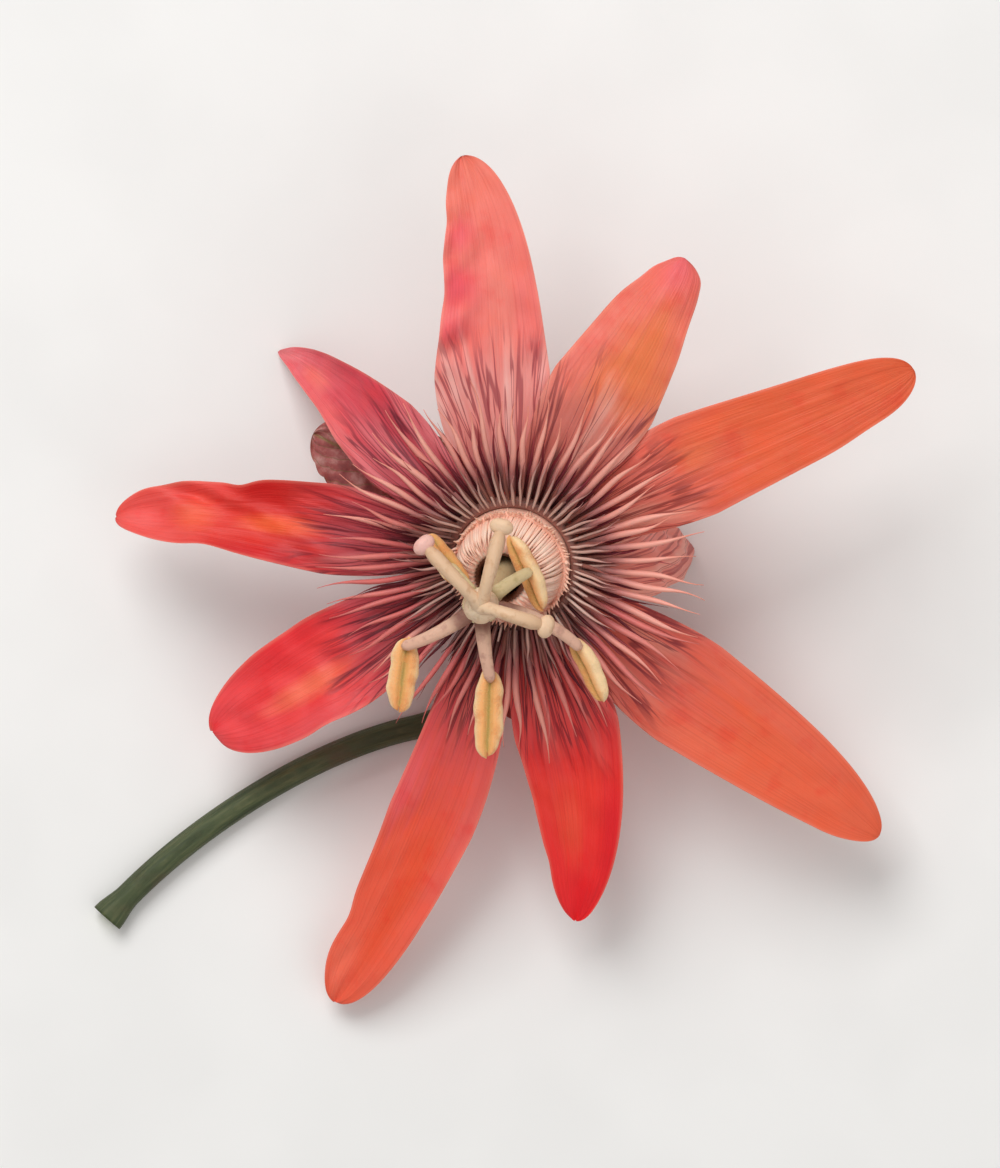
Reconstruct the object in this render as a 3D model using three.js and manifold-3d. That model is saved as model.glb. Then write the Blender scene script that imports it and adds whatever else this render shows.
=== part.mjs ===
// One red passion flower as picked: it lies on its back on a flat surface, face up, on a cut stalk.
// Millimetres, +Z up. The origin is on the surface, under the middle of the flower's outline.
// Azimuths are degrees seen from above, from +X towards +Y. Heights are above the surface,
// or, in the flower's own frame, above the plane of the cup's rim.
import * as THREE from "three";
import { mergeVertices } from "three/addons/utils/BufferGeometryUtils.js";
import Module from "manifold-3d";

const wasm = await Module();
wasm.setup();

// ---- Driving dimensions ----

// The middle of the cup's rim, and how the flower's axis leans from upright.
const CENTRE = { x: 1.6, y: 2.75, height: 22 };
const LEAN = { degrees: 18, towards: 245 };

const CUP = { rimRadius: 8, rimHeight: -0.4, wall: 2.2, depth: 9.4, bulge: 0.6, pouches: 5 };
// Sepals and petals begin just outside the cup. One that swings to a side begins a little
// farther out, so that its corner clears the cup.
const ROOT = { radius: 8.4, swingClearance: 0.025 };

// Sepals and petals alternate round the rim. Each line gives where a tip lies (its azimuth and
// reach from the rim's middle, and its height above the surface) and the blade's width. A blade
// leaves the rim `leaves` degrees above the rim's plane and `swings` degrees to the left of
// straight out. Its tip points `arrives` degrees above level and `turns` degrees to the left of
// straight out. Its edges stand `cup` above its midrib, and it has rolled `roll` degrees about
// its midrib by the tip. It is `widest` at that share of its length and narrows evenly from there
// by the share `narrow`. A large `blunt` keeps it broad until just before its round tip.
const SEPAL = { thickness: 0.8, claw: 0.5, keel: 0.6 };
const SEPAL_ROOTS = { azimuth: 101.4, height: -1.7 };
const SEPALS = [
  { azimuth: 97.2, reach: 47.8, height: 29.5, leaves: 7, swings: -4, arrives: -12, turns: 14,
    cup: 0.5, roll: 0, width: 13.6, widest: 0.36, narrow: 0.48, blunt: 7 },
  { azimuth: 25.5, reach: 52, height: 29, leaves: 7.6, swings: 4, arrives: -12, turns: 2,
    cup: 0.4, roll: 6, width: 12.4, widest: 0.38, narrow: 0.4, blunt: 8 },
  { azimuth: -36.9, reach: 54.5, height: 10, leaves: 3.5, swings: 4, arrives: -28, turns: -4,
    cup: 0.3, roll: -8, width: 13.5, widest: 0.38, narrow: 0.35, blunt: 4 },
  { azimuth: -112, reach: 57, height: 3, leaves: 6, swings: 16, arrives: -20, turns: -9,
    cup: 0.8, roll: 8, width: 10.6, widest: 0.5, narrow: 0.28, blunt: 6 },
  { azimuth: 173.7, reach: 47.6, height: 10.5, leaves: 9, swings: -6, arrives: -24, turns: 8,
    cup: 1.6, roll: 24, width: 10.8, widest: 0.36, narrow: 0.42, blunt: 7 },
];
const PETAL = { thickness: 0.65, claw: 0.44, keel: 0 };
const PETAL_ROOTS = { azimuth: 65.4, height: -0.4 };
const PETALS = [
  { azimuth: 60.4, reach: 40.7, height: 30, leaves: 6, swings: -4, arrives: -8, turns: 0,
    cup: -0.5, roll: -6, width: 13.2, widest: 0.45, narrow: 0.42, blunt: 8 },
  { azimuth: 4, reach: 21.6, height: 0.05, leaves: 0, swings: 4, arrives: -84, turns: 8,
    cup: -0.7, roll: 0, width: 8.2, widest: 0.45, narrow: 0.15, blunt: 2.4 },
  { azimuth: -80.2, reach: 43.5, height: 9, leaves: 5.5, swings: 14, arrives: -28, turns: -18,
    cup: 0.8, roll: 4, width: 12.6, widest: 0.36, narrow: 0.4, blunt: 3.6 },
  { azimuth: -150.3, reach: 41.2, height: 10, leaves: 4, swings: 0, arrives: -26, turns: -4,
    cup: 1.4, roll: 14, width: 12.8, widest: 0.55, narrow: 0.1, blunt: 3.2 },
  { azimuth: 138, reach: 37.8, height: 0.16, leaves: 3, swings: -2, arrives: -62, turns: 22,
    cup: 1, roll: 0, width: 10.2, widest: 0.36, narrow: 0.72, blunt: 3 },
];
const AWN = { length: 3.6, radius: 0.45, at: 0.9 };

// Three bracts grow from the stalk's top and spread under the cup. One is longer.
const BRACT = { thickness: 0.7, claw: 0.34, keel: 0.35 };
const BRACTS = [
  { azimuth: 154, reach: 28, drop: -10.4, leaves: -3, arrives: 1,
    cup: 1, width: 12.6, widest: 0.5, narrow: 0.2, blunt: 3 },
  { azimuth: 30, reach: 20.5, drop: -7.4, leaves: 2, arrives: 14,
    cup: 1.8, width: 14, widest: 0.46, narrow: 0.4, blunt: 2.4 },
  { azimuth: -92, reach: 22, drop: -7.2, leaves: 2, arrives: 16,
    cup: 1.8, width: 14, widest: 0.46, narrow: 0.4, blunt: 2.4 },
];
const BRACT_ROOT = { radius: 2.4, height: -11 };

// The corona: rows of threads on rings that sit on the cup's rim.
const OUTER_RING = { inner: 7, outer: 8.2, bottom: -0.1, top: 1.8 };
const INNER_RING = { inner: 5.7, outer: 6.7, bottom: -0.1, top: 1 };
const LONG_THREADS = { count: 50, from: 7.5, start: 0.4, reach: 24.6, end: 5.4, radius: 0.36, steps: 4 };
const SHORT_THREADS = { count: 50, from: 7.5, start: 1.3, reach: 17.2, end: 6, radius: 0.36, steps: 3 };
const INNER_THREADS = { count: 40, from: 6.2, start: 0.5, reach: 7.4, end: 4.6, radius: 0.26, steps: 2 };
const THREAD_SIDES = 3;
const OPERCULUM = {
  foot: 5.3, shoulder: 5.75, mouth: 2.8, bottom: 0, top: 5, wall: 0.7, pleats: 20, pleat: 0.16,
  drift: 1.3, towards: 220, // how far its mouth moves over to stay round the column
};

// The column stands on the cup's floor and carries five stamens and, above them, the ovary.
const COLUMN = { floor: -5.1, radius: 1.5, hub: { x: -3.8, y: -5.3, height: 12 } };
const STAMEN = { rootRadius: 0.75, tipRadius: 0.45, arch: 1.6 };
const ANTHER = { width: 3.6, thickness: 2, groove: 0.35, gap: 0.3 };
// Where each filament ends, seen from the hub: it sets out `sweep` degrees to the left of that
// azimuth. Its anther points along `hangs`, is held `grip` from its inner end, and is `turn`
// degrees over on its side.
const STAMENS = [
  { azimuth: 208, reach: 9.9, drop: 1.2, sweep: 8, hangs: 263, length: 8.8, grip: 1, turn: 0 },
  { azimuth: 277, reach: 8.4, drop: 0.6, sweep: -4, hangs: 268, length: 10.4, grip: 1, turn: 0 },
  { azimuth: 337.5, reach: 12.2, drop: 1.4, sweep: 16, hangs: 296, length: 8.2, grip: 1, turn: 60 },
  { azimuth: 35.5, reach: 6.7, drop: 0.6, sweep: 6, hangs: 294, length: 9.6, grip: 4.8, turn: 55 },
  { azimuth: 128, reach: 5.6, drop: 1.6, sweep: 0, hangs: 128, length: 7.4, grip: 2.6, turn: 50 },
];
const OVARY = { radius: 2.1, height: 6.2, above: 3.8 };
const STYLE = { rootRadius: 0.75, tipRadius: 1, stigma: 1.3 };
const STYLES = [
  { azimuth: 133, reach: 9.4, rise: 1.4 },
  { azimuth: 75.5, reach: 9.2, rise: 2.2 },
  { azimuth: -17.5, reach: 7.6, rise: 2 },
];

// The stalk lies along the surface, then bends up into the cup. Its places are measured across
// the surface from the rim's middle.
const STALK = { radius: 1.6, sides: 10, steps: 36, cutSwelling: 0.5, gap: 0.3 };
const STALK_CUT = { x: -48.75, y: -42.9, heading: 49 };
const STALK_LIFT = { x: -12, y: -20, heading: 12 };

const SHEET_STEPS = { length: 14, width: 6 };
const TIP_HALF_WIDTH = 0.6;
const HANDLE = 0.36; // how far a midrib keeps its first and last directions, as a share of its length
const UP = new THREE.Vector3(0, 0, 1);
const UNION_TOLERANCE = 1e-3;

// ---- Small helpers ----

const radians = THREE.MathUtils.degToRad;
const { lerp, smoothstep, clamp } = THREE.MathUtils;

const polar = (azimuth, radius, z) =>
  new THREE.Vector3(radius * Math.cos(radians(azimuth)), radius * Math.sin(radians(azimuth)), z);

const leanAxis = polar(LEAN.towards + 90, 1, 0);
const lean = new THREE.Quaternion().setFromAxisAngle(leanAxis, radians(LEAN.degrees));
const fromFlower = (point) => point.applyQuaternion(lean); // flower's own frame to upright frame

function solidOf(geometry) {
  const plain = geometry.clone();
  plain.deleteAttribute("normal");
  plain.deleteAttribute("uv");
  const merged = mergeVertices(plain, UNION_TOLERANCE);
  const vertProperties = new Float32Array(merged.attributes.position.array);
  const triVerts = new Uint32Array(merged.index.array);
  return new wasm.Manifold(new wasm.Mesh({ numProp: 3, vertProperties, triVerts }));
}

function geometryOf(solid) {
  const mesh = solid.getMesh();
  const geometry = new THREE.BufferGeometry();
  geometry.setAttribute("position", new THREE.BufferAttribute(mesh.vertProperties, 3));
  geometry.setIndex(new THREE.BufferAttribute(mesh.triVerts, 1));
  geometry.computeVertexNormals();
  return geometry;
}

const fused = (geometries) =>
  geometryOf(geometries.map(solidOf).reduce((whole, piece) => whole.add(piece)));

// Moves each vertex of a geometry to where `place` puts it.
function reshaped(geometry, place) {
  const position = geometry.getAttribute("position");
  const point = new THREE.Vector3();
  for (let i = 0; i < position.count; i++) {
    point.fromBufferAttribute(position, i);
    place(point);
    position.setXYZ(i, point.x, point.y, point.z);
  }
  return geometry;
}

// A cylinder bent along a curve, from its root radius to its tip radius.
function bentRod(curve, rootRadius, tipRadius, sides, steps) {
  const frames = curve.computeFrenetFrames(steps, false);
  return reshaped(new THREE.CylinderGeometry(tipRadius, rootRadius, 1, sides, steps), (point) => {
    const along = clamp(point.y + 0.5, 0, 1);
    const frame = Math.round(along * steps);
    const { x, z } = point;
    point.copy(curve.getPointAt(along));
    point.addScaledVector(frames.normals[frame], x);
    point.addScaledVector(frames.binormals[frame], -z);
  });
}

// A ring or bowl turned about the Z axis from a profile of [radius, z] points.
function turned(profile, segments) {
  const points = profile.map(([radius, z]) => new THREE.Vector2(radius, z));
  return new THREE.LatheGeometry(points, segments).rotateX(Math.PI / 2);
}

const ringProfile = ({ inner, outer, bottom, top }) => [
  [inner, bottom],
  [outer, bottom],
  [outer, top],
  [inner, top],
  [inner, bottom],
];

// A thin closed solid. `place(u, v, face)` gives a point of its upper (face 1) or lower (face -1)
// skin, with u from 0 to 1 along it and v from -1 to 1 across. Both skins are split alike.
function sheet(place, steps = SHEET_STEPS) {
  const rows = steps.length;
  const columns = steps.width;
  const points = [];
  for (const face of [1, -1])
    for (let i = 0; i <= rows; i++)
      for (let j = 0; j <= columns; j++)
        points.push(...place(i / rows, (2 * j) / columns - 1, face).toArray());
  const lowerStart = (rows + 1) * (columns + 1);
  const upper = (i, j) => i * (columns + 1) + j;
  const lower = (i, j) => lowerStart + upper(i, j);
  const triangles = [];
  const quad = (a, b, c, d) => triangles.push(a, b, c, a, c, d);
  for (let i = 0; i < rows; i++) {
    for (let j = 0; j < columns; j++) {
      quad(upper(i, j), upper(i + 1, j), upper(i + 1, j + 1), upper(i, j + 1));
      quad(lower(i, j), lower(i, j + 1), lower(i + 1, j + 1), lower(i + 1, j));
    }
    quad(lower(i, 0), lower(i + 1, 0), upper(i + 1, 0), upper(i, 0));
    quad(lower(i + 1, columns), lower(i, columns), upper(i, columns), upper(i + 1, columns));
  }
  for (let j = 0; j < columns; j++) {
    quad(lower(0, j + 1), lower(0, j), upper(0, j), upper(0, j + 1));
    quad(lower(rows, j), lower(rows, j + 1), upper(rows, j + 1), upper(rows, j));
  }
  const geometry = new THREE.BufferGeometry();
  geometry.setAttribute("position", new THREE.Float32BufferAttribute(points, 3));
  geometry.setIndex(triangles);
  geometry.computeVertexNormals();
  return geometry;
}

// ---- Blades: sepals, petals and bracts ----

// Half the width at u: a claw that widens to the full blade, which then narrows to its tip.
function halfWidth(u, { width, widest, narrow, blunt }, { claw }) {
  const full = width / 2;
  if (u < widest) return full * lerp(claw, 1, Math.sin((Math.PI / 2) * (u / widest)));
  const beyond = (u - widest) / (1 - widest);
  return Math.max(TIP_HALF_WIDTH, full * (1 - narrow * beyond) * Math.sqrt(1 - beyond ** blunt));
}

// A midrib leaves its root along one direction and arrives at its tip along another.
function midrib(root, outward, tip, onward) {
  const handle = HANDLE * root.distanceTo(tip);
  return new THREE.CubicBezierCurve3(
    root,
    root.clone().addScaledVector(outward, handle),
    tip.clone().addScaledVector(onward, -handle),
    tip,
  );
}

// A unit vector that points along an azimuth and `slope` degrees above level.
const heading = (azimuth, slope) => polar(azimuth, Math.cos(radians(slope)), Math.sin(radians(slope)));

// The blade's own directions at u: along, to its left, and out of its upper face. Its left side
// goes over from the root's left to the tip's left, and turns by `roll` degrees on the way.
function bladeFrame({ rib, rootSide, tipSide, roll }, u) {
  const along = rib.getTangent(u);
  const side = rootSide.clone().lerp(tipSide, smoothstep(u, 0, 0.6));
  side.addScaledVector(along, -side.dot(along)).normalize();
  side.applyAxisAngle(along, radians(roll * smoothstep(u, 0.2, 1)));
  return { along, side, up: along.clone().cross(side) };
}

function blade(line, shape, form) {
  // stations crowd towards the tip, where the outline turns fastest
  const station = (s) => 1 - (1 - s) ** 1.35;
  return sheet((s, v, face) => {
    const u = station(s);
    const { side, up } = bladeFrame(line, u);
    const half = halfWidth(u, shape, form);
    const lift = shape.cup * smoothstep(u, 0.2, 0.6) * ((2 * half) / shape.width) * v * v;
    const keel = face < 0 && v === 0 ? form.keel * Math.sin(Math.PI * clamp(u, 0.1, 0.93)) : 0;
    const point = line.rib.getPoint(u).addScaledVector(side, v * half);
    return point.addScaledVector(up, lift + face * (form.thickness / 2 + keel));
  });
}

function tepalLine(index, roots, shape) {
  const { azimuth, reach, height, leaves, swings, arrives, turns, roll } = shape;
  const rootAzimuth = roots.azimuth - 72 * index;
  const rootRadius = ROOT.radius + ROOT.swingClearance * Math.abs(swings);
  const root = fromFlower(polar(rootAzimuth, rootRadius, roots.height));
  const outward = fromFlower(heading(rootAzimuth + swings, leaves));
  const tip = polar(azimuth, reach, height - CENTRE.height);
  const rib = midrib(root, outward, tip, heading(azimuth + turns, arrives));
  const rootSide = fromFlower(heading(rootAzimuth + 90, 0));
  return { rib, rootSide, tipSide: heading(azimuth + turns + 90, 0), roll };
}

// A sepal carries a short awn on its back, just short of the tip.
function sepal(index, shape) {
  const line = tepalLine(index, SEPAL_ROOTS, shape);
  const { along, up } = bladeFrame(line, AWN.at);
  const foot = line.rib.getPoint(AWN.at).addScaledVector(along, -1);
  const end = foot.clone().addScaledVector(along, AWN.length).addScaledVector(up, -1.2);
  const awn = bentRod(new THREE.LineCurve3(foot, end), AWN.radius, AWN.radius / 3, 5, 1);
  return fused([blade(line, shape, SEPAL), awn]);
}

const petal = (index, shape) => blade(tepalLine(index, PETAL_ROOTS, shape), shape, PETAL);

function bract(shape) {
  const { azimuth, reach, drop, leaves, arrives } = shape;
  const root = polar(azimuth, BRACT_ROOT.radius, BRACT_ROOT.height);
  const tip = polar(azimuth, reach, drop);
  const rib = midrib(root, heading(azimuth, leaves), tip, heading(azimuth, arrives));
  const side = heading(azimuth + 90, 0);
  return blade({ rib, rootSide: side, tipSide: side, roll: 0 }, shape, BRACT);
}

// ---- Cup and corona ----

// A bowl whose wall bulges into pouches under the sepals.
function floralCup() {
  const { rimRadius, rimHeight, wall, depth } = CUP;
  const bottom = rimHeight - depth;
  const inside = rimRadius - wall;
  const profile = [
    [0, bottom],
    [2.4, bottom + 0.2],
    [5.4, bottom + 1.5],
    [7.6, bottom + 3.4],
    [8.2, bottom + 5.4],
    [rimRadius, rimHeight - 1.9],
    [rimRadius, rimHeight],
    [inside, rimHeight],
    [inside - 0.4, rimHeight - 2.8],
    [inside - 2.2, rimHeight - 4.8],
    [0, rimHeight - 5.2],
  ];
  return reshaped(turned(profile, 30), (point) => {
    const azimuth = Math.atan2(point.y, point.x);
    const radius = Math.hypot(point.x, point.y);
    const level = (rimHeight - 1.9 - point.z) / (depth - 1.9);
    const outside = radius > inside && level > 0;
    const bulge = outside ? CUP.bulge * Math.sin(Math.PI * clamp(level, 0, 1)) : 0;
    const phase = CUP.pouches * (azimuth - radians(SEPAL_ROOTS.azimuth));
    const stretch = radius > 0 ? (radius + bulge * (0.5 + 0.5 * Math.cos(phase))) / radius : 1;
    point.x *= stretch;
    point.y *= stretch;
  });
}

// One row of threads: each leaves the ring, curves and ends a little unevenly.
function threads(row, startTurn, seed) {
  THREE.MathUtils.seededRandom(seed);
  const uneven = (amount) => amount * (2 * THREE.MathUtils.seededRandom() - 1);
  return Array.from({ length: row.count }, (_, i) => {
    const azimuth = ((i + startTurn) * 360) / row.count;
    const reach = row.reach + uneven(0.05 * row.reach);
    const foot = polar(azimuth, row.from, row.start);
    const middle = polar(azimuth, lerp(row.from, reach, 0.5), lerp(row.start, row.end, 0.6));
    const end = polar(azimuth + uneven(1.6), reach, row.end + uneven(0.3));
    const curve = new THREE.QuadraticBezierCurve3(foot, middle, end);
    return bentRod(curve, row.radius, row.radius / 2, THREAD_SIDES, row.steps);
  });
}

const outerCorona = () =>
  fused([
    turned(ringProfile(OUTER_RING), 50),
    ...threads(LONG_THREADS, 0, 3),
    ...threads(SHORT_THREADS, 0.5, 5),
  ]);

const innerCorona = () => fused([turned(ringProfile(INNER_RING), 40), ...threads(INNER_THREADS, 0.25, 8)]);

// The operculum is a pleated dome that leans in round the column and closes the cup.
function operculum() {
  const { foot, shoulder, mouth, bottom, top, wall, pleats, pleat, drift, towards } = OPERCULUM;
  const brow = lerp(shoulder, mouth, 0.4);
  const collar = turned(
    [
      [foot - wall, bottom],
      [foot, bottom],
      [foot, lerp(bottom, top, 0.26)],
      [shoulder, lerp(bottom, top, 0.5)],
      [shoulder - 0.2, lerp(bottom, top, 0.74)],
      [brow, lerp(bottom, top, 0.93)],
      [mouth + wall, top],
      [mouth, top - 0.5],
      [brow - 0.4, lerp(bottom, top, 0.8)],
      [shoulder - 0.3 - wall, lerp(bottom, top, 0.66)],
      [shoulder - wall, lerp(bottom, top, 0.5)],
      [foot - wall, lerp(bottom, top, 0.26)],
      [foot - wall, bottom],
    ],
    2 * pleats,
  );
  return reshaped(collar, (point) => {
    const azimuth = Math.atan2(point.y, point.x);
    const radius = Math.hypot(point.x, point.y);
    const share = smoothstep(point.z, bottom, top);
    const stretch = (radius + pleat * share * Math.cos(pleats * azimuth)) / radius;
    point.x *= stretch;
    point.y *= stretch;
    point.add(polar(towards, drift * share, 0));
  });
}

// ---- Column, stamens and pistil ----

const hub = new THREE.Vector3(COLUMN.hub.x, COLUMN.hub.y, COLUMN.hub.height);

function columnWithFilaments() {
  const axis = fromFlower(new THREE.Vector3(0, 0, 1));
  const foot = axis.clone().multiplyScalar(COLUMN.floor);
  const stem = new THREE.CubicBezierCurve3(
    foot,
    foot.clone().addScaledVector(axis, 9),
    hub.clone().addScaledVector(UP, -5),
    hub,
  );
  const column = bentRod(stem, COLUMN.radius * 1.15, COLUMN.radius * 0.9, 10, 10);
  const filaments = STAMENS.map(({ azimuth, reach, drop, sweep }) => {
    const start = hub.clone().add(new THREE.Vector3(0, 0, -0.7));
    const end = hub.clone().add(polar(azimuth, reach, -drop));
    const control = hub.clone().add(polar(azimuth + sweep, reach * 0.6, STAMEN.arch - drop / 2));
    const curve = new THREE.QuadraticBezierCurve3(start, control, end);
    return bentRod(curve, STAMEN.rootRadius, STAMEN.tipRadius, 6, 5);
  });
  return fused([column, ...filaments]);
}

// An anther is a flattened pod with a groove along its upper face.
function anther({ azimuth, reach, drop, hangs, length, grip, turn }) {
  const pod = reshaped(new THREE.SphereGeometry(0.5, 10, 8), (point) => {
    const groove = point.z > 0 ? ANTHER.groove * Math.max(0, 1 - Math.abs(point.x) / 0.2) : 0;
    const taper = Math.sqrt(Math.sqrt(Math.max(0, 1 - (2 * point.y) ** 4)));
    const round = Math.hypot(point.x, point.z) || 1;
    const squared = (0.5 * taper) / round;
    point.x *= squared * ANTHER.width;
    point.z = point.z * squared * ANTHER.thickness - groove * taper;
    point.y *= length;
  });
  // the pod's own +Y runs out along `hangs`, and the pod lies just under the filament's tip
  pod.rotateY(radians(turn));
  pod.rotateZ(radians(hangs - 90));
  const tip = hub.clone().add(polar(azimuth, reach, -drop));
  const halfHeight = Math.hypot(
    (ANTHER.thickness / 2) * Math.cos(radians(turn)),
    (ANTHER.width / 2) * Math.sin(radians(turn)),
  );
  const below = STAMEN.tipRadius + ANTHER.gap + halfHeight;
  const away = polar(hangs, length / 2 - grip, -below);
  const place = tip.add(away);
  return pod.translate(place.x, place.y, place.z);
}

// The pistil: an egg-shaped ovary, three styles that arch out from its top, and round stigmas.
function pistil() {
  const middle = hub.clone().addScaledVector(UP, OVARY.above);
  const egg = new THREE.SphereGeometry(1, 14, 10).rotateX(Math.PI / 2);
  egg.scale(OVARY.radius, OVARY.radius, OVARY.height / 2).translate(...middle.toArray());
  const crown = middle.clone().addScaledVector(UP, OVARY.height / 2 - 1);
  const pieces = [egg];
  for (const { azimuth, reach, rise } of STYLES) {
    const end = crown.clone().add(polar(azimuth, reach, rise));
    const control = crown.clone().add(polar(azimuth, reach * 0.3, rise + 2.4));
    const curve = new THREE.QuadraticBezierCurve3(crown, control, end);
    const stigma = new THREE.SphereGeometry(STYLE.stigma, 8, 6).scale(1, 1, 0.75);
    pieces.push(bentRod(curve, STYLE.rootRadius, STYLE.tipRadius, 6, 6));
    pieces.push(stigma.translate(...end.toArray()));
  }
  return fused(pieces);
}

// ---- Stalk ----

// From its cut end the stalk runs along the surface, then curves up into the cup's foot.
function stalk() {
  const lying = STALK.radius * Math.cos(Math.PI / STALK.sides) - CENTRE.height;
  const onSurface = ({ x, y }) => new THREE.Vector3(x, y, lying);
  const cut = onSurface(STALK_CUT);
  const lift = onSurface(STALK_LIFT);
  const cutWay = polar(STALK_CUT.heading, 1, 0);
  const liftWay = polar(STALK_LIFT.heading, 1, 0);
  const axis = fromFlower(new THREE.Vector3(0, 0, 1));
  const top = axis.clone().multiplyScalar(CUP.rimHeight - CUP.depth - STALK.gap);
  const path = new THREE.CurvePath();
  path.add(
    new THREE.CubicBezierCurve3(
      cut,
      cut.clone().addScaledVector(cutWay, 14),
      lift.clone().addScaledVector(liftWay, -12),
      lift,
    ),
  );
  path.add(
    new THREE.CubicBezierCurve3(
      lift,
      lift.clone().addScaledVector(liftWay, 14),
      top.clone().addScaledVector(axis, -9.5),
      top,
    ),
  );
  const { radius, sides, steps, cutSwelling } = STALK;
  const frames = path.computeFrenetFrames(steps, false);
  const rod = new THREE.CylinderGeometry(radius, radius, 1, sides, steps);
  const halfSide = Math.PI / sides; // turns one flat of the section to face the surface
  return reshaped(rod.rotateY(Math.PI / 2 + halfSide), (point) => {
    const along = clamp(point.y + 0.5, 0, 1);
    const frame = Math.round(along * steps);
    const swelling = 1 + cutSwelling * smoothstep(0.05 - along, 0, 0.05);
    const { x, z } = point;
    point.copy(path.getPointAt(along));
    point.addScaledVector(frames.normals[frame], x);
    point.addScaledVector(frames.binormals[frame], -z * swelling);
  });
}

// ---- The flower ----

const material = (colour, roughness) =>
  new THREE.MeshStandardMaterial({ color: colour, roughness, metalness: 0 });

const SEPAL_ORANGE = material(0xe4613e, 0.5);
const PETAL_RED = material(0xdf3836, 0.5);
const BRACT_BROWN = material(0x7a3f33, 0.65);
const CUP_RED = material(0xb5483d, 0.55);
const THREAD_PURPLE = material(0x5c2632, 0.5);
const THREAD_PALE = material(0xe8b9a6, 0.5);
const COLUMN_CREAM = material(0xd9c79a, 0.5);
const ANTHER_YELLOW = material(0xdca766, 0.7);
const STALK_GREEN = material(0x59633a, 0.6);

function named(name, geometry, finish) {
  const mesh = new THREE.Mesh(geometry, finish);
  mesh.name = name;
  return mesh;
}

const flower = new THREE.Group();
flower.position.set(CENTRE.x, CENTRE.y, CENTRE.height);

const leaning = new THREE.Group(); // what is built in the flower's own frame
leaning.quaternion.copy(lean);
flower.add(leaning);

SEPALS.forEach((shape, i) => flower.add(named(`sepal_${i + 1}`, sepal(i, shape), SEPAL_ORANGE)));
PETALS.forEach((shape, i) => flower.add(named(`petal_${i + 1}`, petal(i, shape), PETAL_RED)));
BRACTS.forEach((shape, i) => leaning.add(named(`bract_${i + 1}`, bract(shape), BRACT_BROWN)));
leaning.add(named("floral_cup", floralCup(), CUP_RED));
leaning.add(named("outer_corona", outerCorona(), THREAD_PURPLE));
leaning.add(named("inner_corona", innerCorona(), THREAD_PALE));
leaning.add(named("operculum", operculum(), THREAD_PALE));
flower.add(named("column", columnWithFilaments(), COLUMN_CREAM));
STAMENS.forEach((stamen, i) => flower.add(named(`anther_${i + 1}`, anther(stamen), ANTHER_YELLOW)));
flower.add(named("pistil", pistil(), COLUMN_CREAM));
flower.add(named("stalk", stalk(), STALK_GREEN));

export default flower;
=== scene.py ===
"""The look of one red passion flower, picked and laid face up on a pale floor.

Shapes are worked out in millimetres in an upright frame whose origin is the middle of the
flower's rim, or in the flower's own frame, which leans with its axis: `lean` brings the second to
the first, and `skin` brings that to the room's metres. An azimuth is in degrees seen from above,
from +X towards +Y.
"""
from functools import partialmethod

import bpy
import numpy as np
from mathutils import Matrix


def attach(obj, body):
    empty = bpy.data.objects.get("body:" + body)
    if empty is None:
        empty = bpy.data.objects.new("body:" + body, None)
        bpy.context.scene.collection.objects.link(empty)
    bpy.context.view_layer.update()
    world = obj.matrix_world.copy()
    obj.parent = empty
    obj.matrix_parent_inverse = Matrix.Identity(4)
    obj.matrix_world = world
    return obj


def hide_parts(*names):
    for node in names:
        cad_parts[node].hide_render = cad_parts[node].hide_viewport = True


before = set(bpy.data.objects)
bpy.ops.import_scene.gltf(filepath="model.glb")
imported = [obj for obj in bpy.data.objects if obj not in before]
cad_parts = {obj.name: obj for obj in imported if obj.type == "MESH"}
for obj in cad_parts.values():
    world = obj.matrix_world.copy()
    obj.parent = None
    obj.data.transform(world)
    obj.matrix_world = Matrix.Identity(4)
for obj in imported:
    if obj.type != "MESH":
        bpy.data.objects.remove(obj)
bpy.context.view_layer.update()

# ---- Sizes, the same as the solids' ----

CENTRE = np.array((1.6, 2.75, 22.0))
LEAN_DEGREES, LEAN_TOWARDS = 18, 245
METRES = 0.001  # to one millimetre
HANDLE = 0.36  # how far a midrib keeps its first and last directions, as a share of its length
DRIFT_TOWARDS = 220  # the azimuth to which the dome moves over, to stay round the column
UPPER_SIDE = 60  # the azimuth on which the threads are palest

SEPAL = dict(root=(101.4, 7.6, -1.7), thickness=0.5, claw=0.5)
PETAL = dict(root=(65.4, 7.6, -0.4), thickness=0.36, claw=0.44)
BRACT = dict(root=(2.4, -11), thickness=0.4, claw=0.34)

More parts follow.
